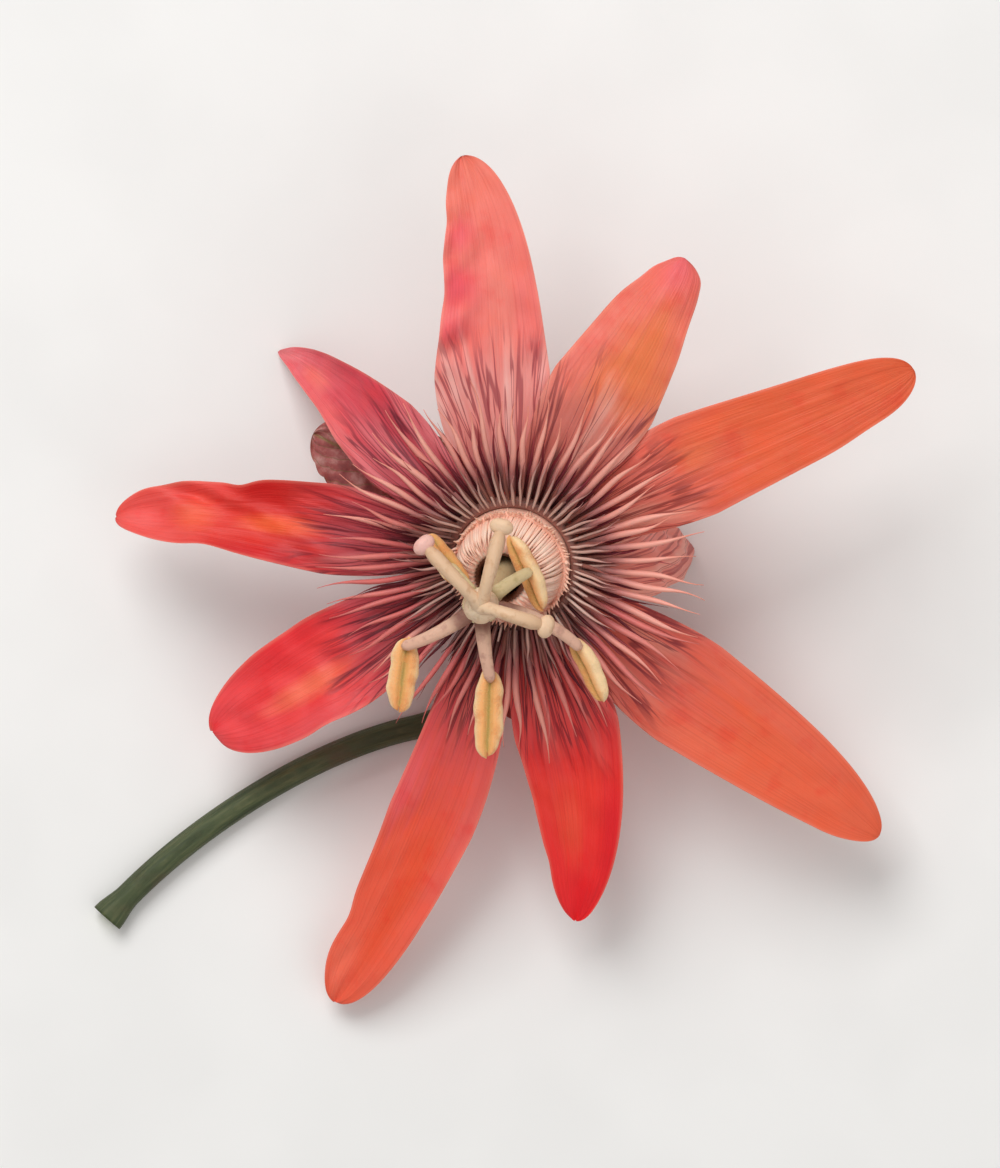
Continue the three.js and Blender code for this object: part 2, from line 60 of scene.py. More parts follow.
# A tip is an azimuth, reach and height. A blade leaves the rim at a slope and with a swing to the
# left, and arrives at its tip at a slope and with a turn to the left. Its edges stand `cup` above
# its midrib, and it rolls over by so many degrees. An outline is a width, where it is widest, the
# share by which it narrows, and how blunt it ends. The finer skins add waves (how deep on the
# left and right edge, and how many), a fold along the midrib and crinkles. A nip is a bay or bump
# in the outline: its side, place along, size and depth as a share of the half width. A crease
# runs across the blade: its place, slant, rise, size and side (0 for both).
SEPALS = [
    dict(tip=(97.2, 47.8, 29.5), leaves=(7, -4), arrives=(-12, 14), cup=0.5, roll=0,
         outline=(13.6, 0.36, 0.48, 7), waves=(0.3, 0.12, 8.3), fold=0.3, crinkle=0.35,
         nips=[(1, 0.6, 0.05, -0.04), (1, 0.72, 0.04, 0.03), (1, 0.83, 0.04, -0.05)],
         creases=[(0.5, 0.1, -0.3, 0.03, 1), (0.62, 0.15, 0.3, 0.035, 1), (0.72, 0.1, -0.3, 0.03, 1),
                  (0.84, -0.1, 0.25, 0.05, 0)]),
    dict(tip=(25.5, 52, 29), leaves=(7.6, 4), arrives=(-12, 2), cup=0.4, roll=6,
         outline=(12.4, 0.38, 0.4, 8), waves=(0.15, 0.2, 1.6), fold=0.3, crinkle=0.18,
         nips=[(-1, 0.84, 0.07, -0.06)]),
    dict(tip=(-36.9, 54.5, 10), leaves=(3.5, 4), arrives=(-28, -4), cup=0.3, roll=-8,
         outline=(13.5, 0.38, 0.35, 4), waves=(0.15, 0.15, 1.5), fold=0.3, crinkle=0.15,
         nips=[(-1, 0.9, 0.06, 0.05)]),
    dict(tip=(-112, 57, 3), leaves=(6, 16), arrives=(-20, -9), cup=0.8, roll=8,
         outline=(10.6, 0.5, 0.28, 6), waves=(0.2, 0.4, 2.2), fold=0.3, crinkle=0.25,
         nips=[(-1, 0.81, 0.045, -0.1), (-1, 0.92, 0.05, 0.07)],
         creases=[(0.82, 0.2, -0.35, 0.05, -1), (0.9, 0.1, 0.3, 0.05, -1)]),
    dict(tip=(173.7, 47.6, 10.5), leaves=(9, -6), arrives=(-24, 8), cup=1.6, roll=24,
         outline=(10.8, 0.36, 0.42, 7), waves=(0.4, 0.9, 2.1), fold=0.6, crinkle=0.4,
         nips=[(-1, 0.62, 0.05, -0.14), (-1, 0.75, 0.06, 0.06), (1, 0.7, 0.08, -0.06)],
         creases=[(0.6, 0.25, -1.0, 0.055, -1), (0.5, 0.3, 0.6, 0.07, 0), (0.78, 0.1, 0.5, 0.07, 0)]),
]
PETALS = [
    dict(tip=(60.4, 40.7, 30), leaves=(6, -4), arrives=(-8, 0), cup=-0.5, roll=-6,
         outline=(13.2, 0.45, 0.42, 8), waves=(0.2, 0.5, 1.7), fold=-0.9, crinkle=0.25,
         nips=[(1, 0.9, 0.08, -0.16), (1, 0.98, 0.04, -0.25), (-1, 0.84, 0.1, -0.08),
               (-1, 0.97, 0.03, 0.1)],
         creases=[(0.8, 0.3, 0.3, 0.08, 1)]),
    dict(tip=(4, 21.6, 0.05), leaves=(0, 4), arrives=(-84, 8), cup=-0.7, roll=0,
         outline=(8.2, 0.45, 0.15, 2.4), waves=(0.4, 0.3, 2.6), fold=-0.5, crinkle=0.3,
         nips=[(-1, 0.6, 0.16, -0.16)], creases=[(0.4, 0.1, 0.3, 0.05, 0)]),
    dict(tip=(-80.2, 43.5, 9), leaves=(5.5, 14), arrives=(-28, -18), cup=0.8, roll=4,
         outline=(12.6, 0.36, 0.4, 3.6), waves=(0.2, 0.3, 2.1), fold=0.7, crinkle=0.3,
         nips=[(-1, 0.8, 0.05, -0.05)], creases=[(0.66, -0.15, 0.3, 0.05, -1)]),
    dict(tip=(-150.3, 41.2, 10), leaves=(4, 0), arrives=(-26, -4), cup=1.4, roll=14,
         outline=(12.8, 0.55, 0.1, 3.2), waves=(0.5, 0.7, 1.6), fold=-0.9, crinkle=0.4,
         nips=[(1, 0.6, 0.08, -0.05)], creases=[(0.62, 0.3, -0.4, 0.08, -1), (0.72, 0.1, 0.4, 0.09, 1)]),
    dict(tip=(138, 37.8, 0.16), leaves=(3, -2), arrives=(-62, 22), cup=1, roll=0,
         outline=(10.2, 0.36, 0.72, 3), waves=(0.3, 0.4, 1.9), fold=0.5, crinkle=0.2),
]
SMALL_BRACT = dict(cup=1.8, outline=(14, 0.46, 0.4, 2.4), fold=0.5, crinkle=0.3)
BRACTS = [
    dict(tip=(154, 28, -10.4), leaves=-3, arrives=1, cup=1, outline=(12.6, 0.5, 0.2, 3),
         waves=(0.4, 0.4, 2.6), fold=0.5, crinkle=0.5, creases=[(0.8, 0.2, 0.4, 0.06, 0)]),
    dict(tip=(30, 20.5, -7.4), leaves=2, arrives=14, waves=(0.5, 0.4, 2.3), **SMALL_BRACT),
    dict(tip=(-92, 22, -7.2), leaves=2, arrives=16, waves=(0.4, 0.5, 2.1), **SMALL_BRACT),
]

HUB = np.array((-3.8, -5.3, 12.0))  # the top of the column
UP = np.array((0.0, 0.0, 1.0))

# ---- Working in arrays ----

radians = np.deg2rad


def polar(azimuth, radius, z):
    """Points at a radius along an azimuth, at height z. All three may be arrays."""
    a, r, z = np.broadcast_arrays(radians(azimuth), radius, z)
    return np.stack([r * np.cos(a), r * np.sin(a), z], -1).astype(float)


def heading(azimuth, slope):
    """The unit vector along an azimuth that climbs at `slope` degrees."""
    return polar(azimuth, np.cos(radians(slope)), np.sin(radians(slope)))


def unit(v):
    return v / np.maximum(np.linalg.norm(v, axis=-1, keepdims=True), 1e-12)


def smooth(x, low, high):
    """0 below low, 1 above high, and 3t^2 - 2t^3 between them."""
    t = np.clip((x - low) / (high - low), 0, 1)
    return t * t * (3 - 2 * t)


def mix(a, b, share):
    return a + (b - a) * share


def turned(v, axis, angle):
    """v turned about axis by angle radians: v cos + (axis x v) sin + axis (axis.v)(1 - cos)."""
    c, s = np.cos(angle)[..., None], np.sin(angle)[..., None]
    along = np.sum(axis * v, -1, keepdims=True)
    return v * c + np.cross(axis, v) * s + axis * along * (1 - c)


def lean(points, degrees=LEAN_DEGREES):
    """From the flower's own frame to the upright one: a turn about the level line square to
    the way the flower leans. Minus the degrees brings them back."""
    points = np.asarray(points, float)
    axis = np.broadcast_to(polar(LEAN_TOWARDS + 90, 1, 0), points.shape)
    return turned(points, axis, np.full(points.shape[:-1], radians(degrees)))


def bezier(t, *handles):
    """The Bezier curve with these handles, ends included, at parameters t."""
    t = np.asarray(t, float)[..., None]
    while len(handles) > 1:
        handles = [mix(a, b, t) for a, b in zip(handles, handles[1:])]
    return handles[0]


def circle(count):
    """So many angles, evenly spaced round a turn."""
    return np.linspace(0, 2 * np.pi, count, endpoint=False)


def squared(x, power):
    """x with its size raised to a power and its sign kept: rounds become squarish."""
    return np.sign(x) * np.abs(x) ** power


def moved(origin, *moves):
    """The origin moved by each (amount, direction), with an amount for every point."""
    return origin + sum(amount[..., None] * direction for amount, direction in moves)


def slope_of(points):
    """Unit tangents of midlines [..., station, xyz], by central differences."""
    return unit(np.gradient(points, axis=-2))


def tube(midline, radius, around, reference=(0, 0, 1), flat=1.0):
    """Points of tubes round midlines [..., station, xyz]: midline + radius (cos side + flat
    sin up), where side is square to the midline and the reference, and up to both."""
    along = slope_of(midline)
    side = unit(np.cross(np.broadcast_to(np.asarray(reference, float), along.shape), along))
    up = np.cross(along, side)
    turn = circle(around)
    radius = np.broadcast_to(radius, midline.shape[:-1])[..., None, None]
    ring = np.cos(turn)[:, None] * side[..., None, :] + flat * np.sin(turn)[:, None] * up[..., None, :]
    return midline[..., None, :] + radius * ring


def put(name, data):
    """A new object with this data, in the scene."""
    new = bpy.data.objects.new(name, data)
    bpy.context.scene.collection.objects.link(new)
    return new


def skin(name, points, finish, ring=False, **marks):
    """One smooth mesh from a stack of tubes, points[tube, station, around, xyz], in upright
    millimetres. Quads join neighbours; the ends are capped, or joined when `ring` is true.
    Each mark is spread over all points, as an attribute that a finish may read. So is each
    point's ray: its direction from the flower's axis and its distance in millimetres."""
    points = np.asarray(points, float)
    if points.ndim == 3:
        points = points[None]
        marks = {key: np.asarray(value)[None] for key, value in marks.items()}
    around = points.shape[2]
    index = np.arange(points.size // 3).reshape(points.shape[:3])
    here, ahead = (index, np.roll(index, -1, 1)) if ring else (index[:, :-1], index[:, 1:])
    quads = np.stack(
        [here, np.roll(here, -1, 2), np.roll(ahead, -1, 2), ahead], -1).reshape(-1, 4)
    caps = np.zeros((0, around), int) if ring else np.concatenate([index[:, 0, ::-1], index[:, -1]])
    flat = points.reshape(-1, 3)
    a, b, c, d = (flat[quads[:, k]] for k in range(4))
    volume = np.sum(a * np.cross(b, c) + a * np.cross(c, d))
    if volume < 0:
        quads, caps = quads[:, ::-1], caps[:, ::-1]
    loops = np.concatenate([quads.ravel(), caps.ravel()])
    sizes = np.concatenate([np.full(len(quads), 4), np.full(len(caps), around)])
    mesh = bpy.data.meshes.new(name)
    mesh.vertices.add(len(flat))
    mesh.vertices.foreach_set("co", ((flat + CENTRE) * METRES).astype(np.float32).ravel())
    mesh.loops.add(len(loops))
    mesh.loops.foreach_set("vertex_index", loops.astype(np.int32))
    mesh.polygons.add(len(sizes))
    mesh.polygons.foreach_set("loop_start", (np.cumsum(sizes) - sizes).astype(np.int32))
    mesh.polygons.foreach_set("use_smooth", np.arange(len(sizes)) < len(quads))
    for key, value in marks.items():
        value = np.broadcast_to(value, points.shape[:3]).astype(np.float32)
        mesh.attributes.new(key, "FLOAT", "POINT").data.foreach_set("value", value.ravel())
    rays = lean(flat, -LEAN_DEGREES)
    reach = np.linalg.norm(rays[:, :2], axis=1)
    rays = np.column_stack([rays[:, :2] / (reach + 1e-6)[:, None], reach])
    mesh.attributes.new("ray", "FLOAT_VECTOR", "POINT").data.foreach_set(
        "vector", rays.astype(np.float32).ravel())
    mesh.update(calc_edges=True)
    mesh.validate()
    mesh.materials.append(finish)
    return put(name, mesh)


def settle(piece, slot, node):
    """The piece rides with the flower and stands for a CAD node. The slot is not used."""
    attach(piece, "root")
    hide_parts(node)


# ---- Finishes ----


def paint(code):
    """A hex colour as the linear values that a shader takes."""
    value = np.array([int(code[k:k + 2], 16) for k in (0, 2, 4)]) / 255
    linear = np.where(value <= 0.04045, value / 12.92, ((value + 0.055) / 1.055) ** 2.4)
    return (*linear.tolist(), 1.0)


class Finish:
    """A node material built step by step. Each method adds a node and gives its output."""

    def __init__(self, name, **constants):
        self.material = bpy.data.materials.new(name)
        self.material.use_nodes = True
        self.tree = self.material.node_tree
        self.shader = self.tree.nodes["Principled BSDF"]
        for socket, value in constants.items():
            self.shader.inputs[socket.replace("_", " ")].default_value = value
        self.relief = None

    def feed(self, socket, value):
        """Links an output to the socket, or sets the socket to a number or a hex colour."""
        if isinstance(value, bpy.types.NodeSocket):
            self.tree.links.new(value, socket)
        else:
            socket.default_value = paint(value) if isinstance(value, str) else value

    def add(self, kind, inputs, output=0, **settings):
        node = self.tree.nodes.new("ShaderNode" + kind)
        for key, value in settings.items():
            setattr(node, key, value)
        for socket, value in inputs.items():
            self.feed(node.inputs[socket], value)
        return node.outputs[output]

    def mark(self, name, kind="Fac"):
        return self.add("Attribute", {}, kind, attribute_name=name)

    def reach(self):
        """How far the point is from the flower's axis, in millimetres."""
        return self.add("SeparateXYZ", {0: self.mark("ray", "Vector")}, 2)

    def rays(self, count, slide):
        """Noise drawn out into lines that run straight out from the flower's axis."""
        wide = count / 6.3  # a turn of the ray is about 6.3 long
        inputs = {0: self.mark("ray", "Vector"), 1: (wide, wide, slide)}
        scaled = self.add("VectorMath", inputs, operation="MULTIPLY")
        return self.noise(scaled, 1.0, 2.0)

    def math(self, operation, a, b=0.0):
        return self.add("Math", {0: a, 1: b}, operation=operation)

    plus = partialmethod(math, "ADD")
    minus = partialmethod(math, "SUBTRACT")
    times = partialmethod(math, "MULTIPLY")
    size = partialmethod(math, "ABSOLUTE")

    def swing(self, value, width):
        """A value from 0 to 1 as a swing about 0 that is so wide."""
        return self.times(self.minus(value, 0.5), width)

    def join(self, x, y, z=0.0):
        return self.add("CombineXYZ", {0: x, 1: y, 2: z})

    def speckle(self, scale, detail=3.0, roughness=0.55):
        return self.noise(self.add("TexCoord", {}, "Object"), scale, detail, roughness)

    def noise(self, vector, scale, detail=3.0, roughness=0.55):
        settings = {"Vector": vector, "Scale": scale, "Detail": detail, "Roughness": roughness}
        return self.add("TexNoise", settings, "Fac")

    def streaks(self, along, across, detail, roughness=0.55, seed=0.0):
        """Noise stretched over a piece: along and across are each (mark, cells)."""
        return self.noise(self.join(self.times(*along), self.times(*across), seed), 1.0, detail,
                          roughness)

    def spread(self, value, low, high, to_low=0.0, to_high=1.0):
        """The value's range low..high brought to to_low..to_high, and held at the ends."""
        inputs = {0: value, 1: low, 2: high, 3: to_low, 4: to_high}
        return self.add("MapRange", inputs, interpolation_type="SMOOTHSTEP")

    def ramp(self, value, *stops):
        output = self.add("ValToRGB", {0: value})
        bar = output.node.color_ramp
        for k, (position, colour) in enumerate(stops):
            stop = bar.elements[k] if k < 2 else bar.elements.new(position)
            stop.position = position
            stop.color = paint(colour)
        return output

    def blend(self, share, a, b, how="MIX"):
        return self.add("Mix", {0: share, 6: a, 7: b}, 2, data_type="RGBA", blend_type=how)

    def tint(self, colour, value, low, high, share, code, how="MIX"):
        """The colour, with another over it by up to `share` as the value goes from low to high."""
        return self.blend(self.spread(value, low, high, 0.0, share), colour, code, how)

    def bump(self, height, depth_mm, strength=1.0):
        inputs = {"Strength": strength, "Distance": depth_mm * METRES, "Height": height}
        if self.relief:
            inputs["Normal"] = self.relief
        self.relief = self.add("Bump", inputs)

    def done(self, colour, roughness=None):
        self.feed(self.shader.inputs["Base Color"], colour)
        if roughness is not None:
            self.feed(self.shader.inputs["Roughness"], roughness)
        if self.relief:
            self.feed(self.shader.inputs["Normal"], self.relief)
        return self.material


def soft_tissue(name, **constants):
    """A finish for fresh plant tissue: light sinks a little way in, and the gloss is low."""
    base = dict(Roughness=0.5, Subsurface_Weight=0.12, Subsurface_Scale=0.001,
                Subsurface_Radius=(1.0, 0.3, 0.2), Specular_IOR_Level=0.3)
    return Finish(name, **{**base, **constants})


def blade_finish(seed, name, colours, base, *spots):
    """Petal tissue: three colours from root to tip and broad soft spots of other tints, some of them
    painted highlights on ridges and one painted shade in a crease, with faint veins along the blade
    and faint mottling. Near the flower's axis it flushes, with dark and pale lines straight out from
    the axis, and darkens at the very root. The pale lines are painted highlights on the folds that
    the bump raises; the dark lines are partly painted shadow of the corona threads and folds and
    partly the blade's own dark stripes."""
    flush, lines, pale, edge, foot = base
    f = soft_tissue(name, Sheen_Weight=0.04, Sheen_Roughness=0.4)
    along, across = f.mark("along"), f.mark("across")
    streaks = f.streaks((along, 3.0), (across, 7.0), 4, seed=seed)
    veins = f.streaks((along, 1.6), (across, 30.0), 2, seed=seed)
    clouds = f.speckle(260.0, 4)
    shift = f.swing(streaks, 0.3)
    colour = f.ramp(f.plus(along, shift), *zip((0.2, 0.55, 0.97), colours))
    place = f.join(along, across)
    for at, over, length, width, code, share in spots:
        away = f.add("VectorMath", {0: place, 1: (at, over, 0.0)}, operation="SUBTRACT")
        away = f.add("VectorMath", {0: away, 1: (1 / length, 1 / width, 0.0)}, operation="MULTIPLY")
        away = f.plus(f.add("VectorMath", {0: away}, 1, operation="LENGTH"), f.times(shift, 2.0))
        colour = f.tint(colour, away, 1.0, 0.1, share, code)
    colour = f.tint(colour, veins, 0.45, 0.7, 0.16, "b03030", "MULTIPLY")
    colour = f.tint(colour, clouds, 0.45, 0.75, 0.35, "f0a890", "SOFT_LIGHT")
    colour = f.tint(colour, clouds, 0.5, 0.25, 0.35, "b83848", "SOFT_LIGHT")
    colour = f.tint(colour, f.size(across), 0.9, 1.0, 0.3, "ff9f8c")

    reach, rays = f.reach(), f.rays(60, 0.05)
    ragged = f.plus(reach, f.swing(rays, 14.0))
    colour = f.tint(colour, ragged, edge, edge - 8.0, 0.9, flush)
    folds, threads = f.rays(60, 0.03), f.rays(130, 0.05)
    fade = f.spread(ragged, edge + 3.0, edge - 5.0)
    # painted highlight: pale on the fold crests that the bump below raises
    colour = f.blend(f.times(f.spread(folds, 0.5, 0.64, 0.0, 0.6), fade), colour, pale)
    # dark lines on the fold and thread rays: partly painted shadow of the corona threads and folds,
    # partly the blade's own dark stripes
    for rays, width in ((folds, 0.028), (threads, 0.038)):
        line = f.spread(f.size(f.minus(rays, 0.47)), width, width / 3, 0.0, 0.75)
        colour = f.blend(f.times(line, fade), colour, lines)
    f.bump(f.times(folds, fade), 0.8, 0.9)
    colour = f.tint(colour, ragged, 13.5, 9.5, 0.9, foot)
    f.bump(streaks, 0.25, 0.7)
    f.bump(veins, 0.08, 0.7)
    f.bump(f.speckle(1500.0, 2), 0.04, 0.6)
    return f.done(colour, f.spread(streaks, 0.3, 0.7, 0.42, 0.55))


# ---- Blades ----


def half_width(u, shape, form):
    """Half the blade's width at u: the claw widens by a sine to the full width, which then
    narrows evenly and rounds off at the tip by (1 - t^blunt)^0.5."""
    width, widest, narrow, blunt = shape["outline"]
    rise = mix(form["claw"], 1, np.sin(np.pi / 2 * np.clip(u / widest, 0, 1)))
    beyond = np.clip((u - widest) / (1 - widest), 0, 1)
    fall = (1 - narrow * beyond) * np.maximum(1 - beyond**blunt, 0) ** 0.5
    return width / 2 * np.maximum(np.where(u < widest, rise, fall), 0.03)


def crinkles(u, across, seed):
    """Soft shallow folds: the mean of eight sines that run slantwise over the blade, with 2 to
    9 waves along it and up to 1.5 across, the shorter ones lower."""
    rng = np.random.default_rng(seed)
    ranges = (2, 9), (-1.5, 1.5), (0, 1)
    along, over, start = (rng.uniform(*ends, (8, 1, 1)) for ends in ranges)
    return np.mean(np.sin(2 * np.pi * (along * u + over * across + start)) / (0.4 + 0.1 * along), 0)


BLADE_AROUND = 64


def blade(name, line, shape, form, finish, rows=120, teeth=0.0):
    """A thin leaf-like skin along a midrib. Each section is a flat loop: across = cos(turn)
    runs over the upper face and back under the lower one, and the skin's thickness follows
    sin(turn). The loop is lifted by the cup (across^2), by a fold along the midrib, by waves
    on each edge (across^3) and by shallow ribs, and its sides may carry small teeth. Its spine
    comes back too: the middle of its back, its directions and the places of its sections."""
    root, outward, tip, onward, root_side, tip_side, roll = line
    u = 1 - (1 - np.linspace(0, 1, rows)) ** 1.7
    reach = HANDLE * np.linalg.norm(tip - root)
    midline = bezier(u, root, root + reach * outward, tip - reach * onward, tip)
    along = slope_of(midline)
    side = mix(root_side, tip_side, smooth(u, 0, 0.6)[:, None])
    side = unit(side - along * np.sum(side * along, -1, keepdims=True))
    side = turned(side, along, radians(roll) * smooth(u, 0.2, 1))
    up = np.cross(along, side)

    turn = circle(BLADE_AROUND)[None]
    across, top = np.cos(turn), np.sin(turn)
    u = u[:, None]
    half = half_width(u, shape, form)
    spread = 2 * half / shape["outline"][0]
    azimuth = shape["tip"][0]
    open_out = smooth(u, 0.2, 0.6)
    left, right, count = shape["waves"]
    deep = np.where(across > 0, left, right)
    phase = np.where(across > 0, 0.0, 0.37) + azimuth / 90
    lift = shape["cup"] * open_out * spread * across**2
    beat = count * u + phase + 0.12 * np.sin(11 * u + azimuth)
    lift += deep * np.abs(across) ** 3 * np.sin(2 * np.pi * beat) * open_out
    lift += shape["fold"] * (np.abs(across) - 0.5) * open_out * spread
    lift += shape["crinkle"] * crinkles(u, across, round(abs(azimuth))) * smooth(u, 0.15, 0.4)
    lift += 0.08 * spread * np.cos(7 * np.pi * across) * (1 - across**2) * smooth(u, 0, 0.3)
    for at, slant, rise, size, hand in shape.get("creases", ()):
        near = np.exp(-(((u + slant * across - at) / size) ** 2))
        lift += rise * near * (smooth(hand * across, -0.1, 0.7) if hand else 1)
    for hand, at, size, depth in shape.get("nips", ()):
        half = half * (1 + depth * np.exp(-(((u - at) / size) ** 2)) * smooth(hand * across, 0, 0.6))
    half = half * (1 + teeth * np.abs(np.sin(16 * np.pi * u)) * smooth(u, 0.2, 0.4))
    thick = form["thickness"] * (0.35 + 0.65 * spread)
    midrib = 0.35 * np.exp(-((across / 0.1) ** 2)) * (top < 0) * spread
    height = lift + thick / 2 * top - midrib
    points = moved(midline[:, None], (across * half, side[:, None]), (height, up[:, None]))
    piece = skin(name, points, finish, along=u, across=across)
    return piece, (points[:, 3 * BLADE_AROUND // 4], along, up, u[:, 0])


def tepal_line(index, form, shape):
    """Root, first direction, tip, last direction, the root's and tip's left sides, and roll."""
    root, radius, height = form["root"]
    root -= 72 * index
    (azimuth, reach, rise), (leaves, swings) = shape["tip"], shape["leaves"]
    arrives, turns = shape["arrives"]
    end = azimuth + turns
    return (lean(polar(root, radius, height)), lean(heading(root + swings, leaves)),
            polar(azimuth, reach, rise - CENTRE[2]), heading(end, arrives),
            lean(heading(root + 90, 0)), heading(end + 90, 0), shape["roll"])


# Each blade's name, its colours from root to tip, then near the flower's axis its flush, dark
# lines, pale lines, how far they reach and the colour of the very root, and last its spots:
# (along, across, length, width, colour, share). The pale lines are painted highlights on folds and
# the dark lines partly painted shadow of the threads; the spots marked below are painted light.
DARK_ROOT = "4c1e22"
PINK_BASE = ("f49c94", "a04048", "fcc8be", 27.5, "80524c")
CRIMSON_BASE = ("e85450", "741824", "f8887c", 24.0, "4c1a1c")
TEPAL_LOOKS = [
    ("salmon_sepal", ("e07e78", "f87c76", "f07c6a"), PINK_BASE, (0.62, 0.7, 0.1, 0.6, "ee5462", 0.85),
     (0.78, 0.6, 0.08, 0.6, "ee5c66", 0.8), (0.49, 0.8, 0.08, 0.6, "ee5c66", 0.8),
     # the fa9080 spot down the middle is a painted highlight
     (0.56, -0.2, 0.25, 0.5, "fa9080", 0.6)),
    ("orange_sepal", ("de6c60", "e8623a", "e6643c"), ("d87060", "8c3430", "f0a490", 23.5, "80524a"),
     (0.5, 0.6, 0.3, 0.5, "ea6840", 0.6), (0.8, -0.6, 0.3, 0.5, "de5c38", 0.5),
     (0.38, 0.2, 0.1, 0.5, "ea7444", 0.6)),
    ("coral_sepal", ("e06a60", "ee6440", "fa6e4c"), ("de6c5c", "8c2e34", "f09c88", 24.0, "805046"),
     (0.6, 0.7, 0.4, 0.5, "ee6e56", 0.6), (0.5, -0.7, 0.3, 0.5, "f07050", 0.6)),
    ("vermilion_sepal", ("e8585e", "f05c42", "f4664c"), ("b84844", "5c1820", "dc6c60", 23.0, DARK_ROOT),
     (0.5, 0.9, 0.4, 0.6, "ee6a64", 0.6), (0.45, -0.9, 0.2, 0.6, "f0646a", 0.7),
     (0.72, 0.1, 0.3, 0.5, "ee5430", 0.8), (0.92, -0.5, 0.12, 0.5, "f8785e", 0.6)),
    ("red_sepal", ("b83440", "dc382e", "f4605a"), ("b04048", "6c1a28", "d87070", 25.0, DARK_ROOT),
     # the cc1c1a spot is painted shade in the crease, the fc6a3c spot a painted highlight on the ridge
     (0.56, -0.8, 0.13, 0.7, "cc1c1a", 0.95), (0.5, 0.05, 0.18, 0.35, "fc6a3c", 0.9),
     (0.52, 0.9, 0.3, 0.5, "cc2028", 0.85), (0.76, 0.0, 0.1, 0.8, "f46444", 0.8),
     (0.93, 0.2, 0.1, 0.7, "fa6c68", 0.7)),
    ("two_tone_petal", ("d8746a", "e87a50", "f07068"), ("cc7468", "84383a", "ecb0a0", 25.0, "80524c"),
     (0.55, 0.8, 0.35, 0.7, "ee7a70", 0.8), (0.64, -0.3, 0.32, 0.6, "ec7c48", 0.85),
     (0.97, 0.0, 0.14, 0.9, "f46c72", 0.8)),
    ("folded_petal", ("f49088", "f48880", "ec7870"), ("f48c7c", "b04440", "fcb4a0", 27.0, "784840")),
    ("scarlet_petal", ("c83440", "ff4034", "ff282e"), CRIMSON_BASE,
     # the ff5038 spot is a painted highlight
     (0.68, -0.25, 0.2, 0.5, "ff5038", 0.9), (0.7, 0.8, 0.35, 0.55, "ee222c", 0.9),
     (0.92, 0.2, 0.12, 0.8, "f41e28", 0.8)),
    ("crimson_petal", ("c03c4c", "ee4242", "f04c50"), ("bc4850", "5c1a28", "e87c78", 24.5, DARK_ROOT),
     # the fa7458 spot is a painted highlight on the ridge
     (0.62, -0.8, 0.3, 0.7, "e83036", 0.9), (0.62, 0.15, 0.26, 0.35, "fa7458", 0.9),
     (0.6, 0.9, 0.4, 0.5, "e65458", 0.8), (0.8, -0.2, 0.1, 0.3, "e02c2e", 0.6)),
    ("rose_petal", ("b03848", "d84654", "ff7880"), ("b03a46", "6c1a2a", "e48084", 25.0, DARK_ROOT),
     (0.55, 0.8, 0.4, 0.6, "f46c6c", 0.8), (0.6, -0.8, 0.4, 0.5, "cc3848", 0.6),
     # the fc7c70 spot is a painted highlight along the middle
     (0.75, 0.2, 0.12, 0.6, "fc7c70", 0.8), (0.93, 0.0, 0.12, 0.9, "ff8488", 0.8)),
]
TEPAL_FINISHES = [blade_finish(seed, *look) for seed, look in enumerate(TEPAL_LOOKS, 1)]


def awn_finish():
    """The green hook on a sepal's back: darker towards its point, lightly mottled."""
    f = soft_tissue("awn_green")
    colour = f.ramp(f.mark("along"), (0.0, "b0604a"), (0.5, "7a6a3c"), (1.0, "4f5a2e"))
    colour = f.blend(f.speckle(900.0), colour, "c9b070", "SOFT_LIGHT")
    f.bump(f.speckle(2000.0), 0.05)
    return f.done(colour)


AWN_GREEN = awn_finish()


def awn(name, spine):
    """A small tapering hook that grows out of the midrib on the sepal's back, just short of the
    tip. It swells from nothing by t^0.5 and thins by t^1.5."""
    place, length, sunk, droop, thick = 0.86, 4.0, 0.9, 1.2, 0.42
    back, along, up, u = spine
    k = int(np.argmin(np.abs(u - place)))
    t = np.linspace(0, 1, 24)[:, None]
    line = back[k] + along[k] * (length * t - sunk) - up[k] * (droop * t**1.6 - 0.12)
    radius = thick * np.minimum(t / 0.2, 1) ** 0.5 * (1 - 0.82 * t**1.5) + 0.02
    points = tube(line, radius[:, 0], 10, reference=tuple(up[k]))
    return skin(name, points, AWN_GREEN, along=t)


for slot, form, shapes, finishes in (("sepal", SEPAL, SEPALS, TEPAL_FINISHES[:5]),
                                     ("petal", PETAL, PETALS, TEPAL_FINISHES[5:])):
    for i, (shape, finish) in enumerate(zip(shapes, finishes)):
        node = f"{slot}_{i + 1}"
        piece, spine = blade(node + "_skin", tepal_line(i, form, shape), shape, form, finish)
        settle(piece, slot, node)
        if slot == "sepal":
            settle(awn(node + "_awn", spine), slot, node)


def bract_finish():
    """Mauve-brown bract: olive along the veins, netted veins in relief, dull."""
    f = soft_tissue("mauve_bract", Roughness=0.62)
    along, across = f.mark("along"), f.mark("across")
    rise = f.minus(along, f.times(f.size(across), 0.35))
    veins = f.size(f.math("SINE", f.times(rise, 30.0)))
    netting = f.speckle(500.0, 5, 0.6)
    colour = f.ramp(netting, (0.3, "84484a"), (0.5, "a86460"), (0.7, "c8a098"))
    colour = f.tint(colour, veins, 0.25, 0.0, 0.6, "7d7048")
    colour = f.tint(colour, f.size(across), 0.12, 0.0, 0.8, "8a7a4e")
    colour = f.tint(colour, along, 0.3, 0.0, 1.0, "5f6338")
    f.bump(veins, 0.12, 0.7)
    f.bump(netting, 0.12, 0.7)
    return f.done(colour)


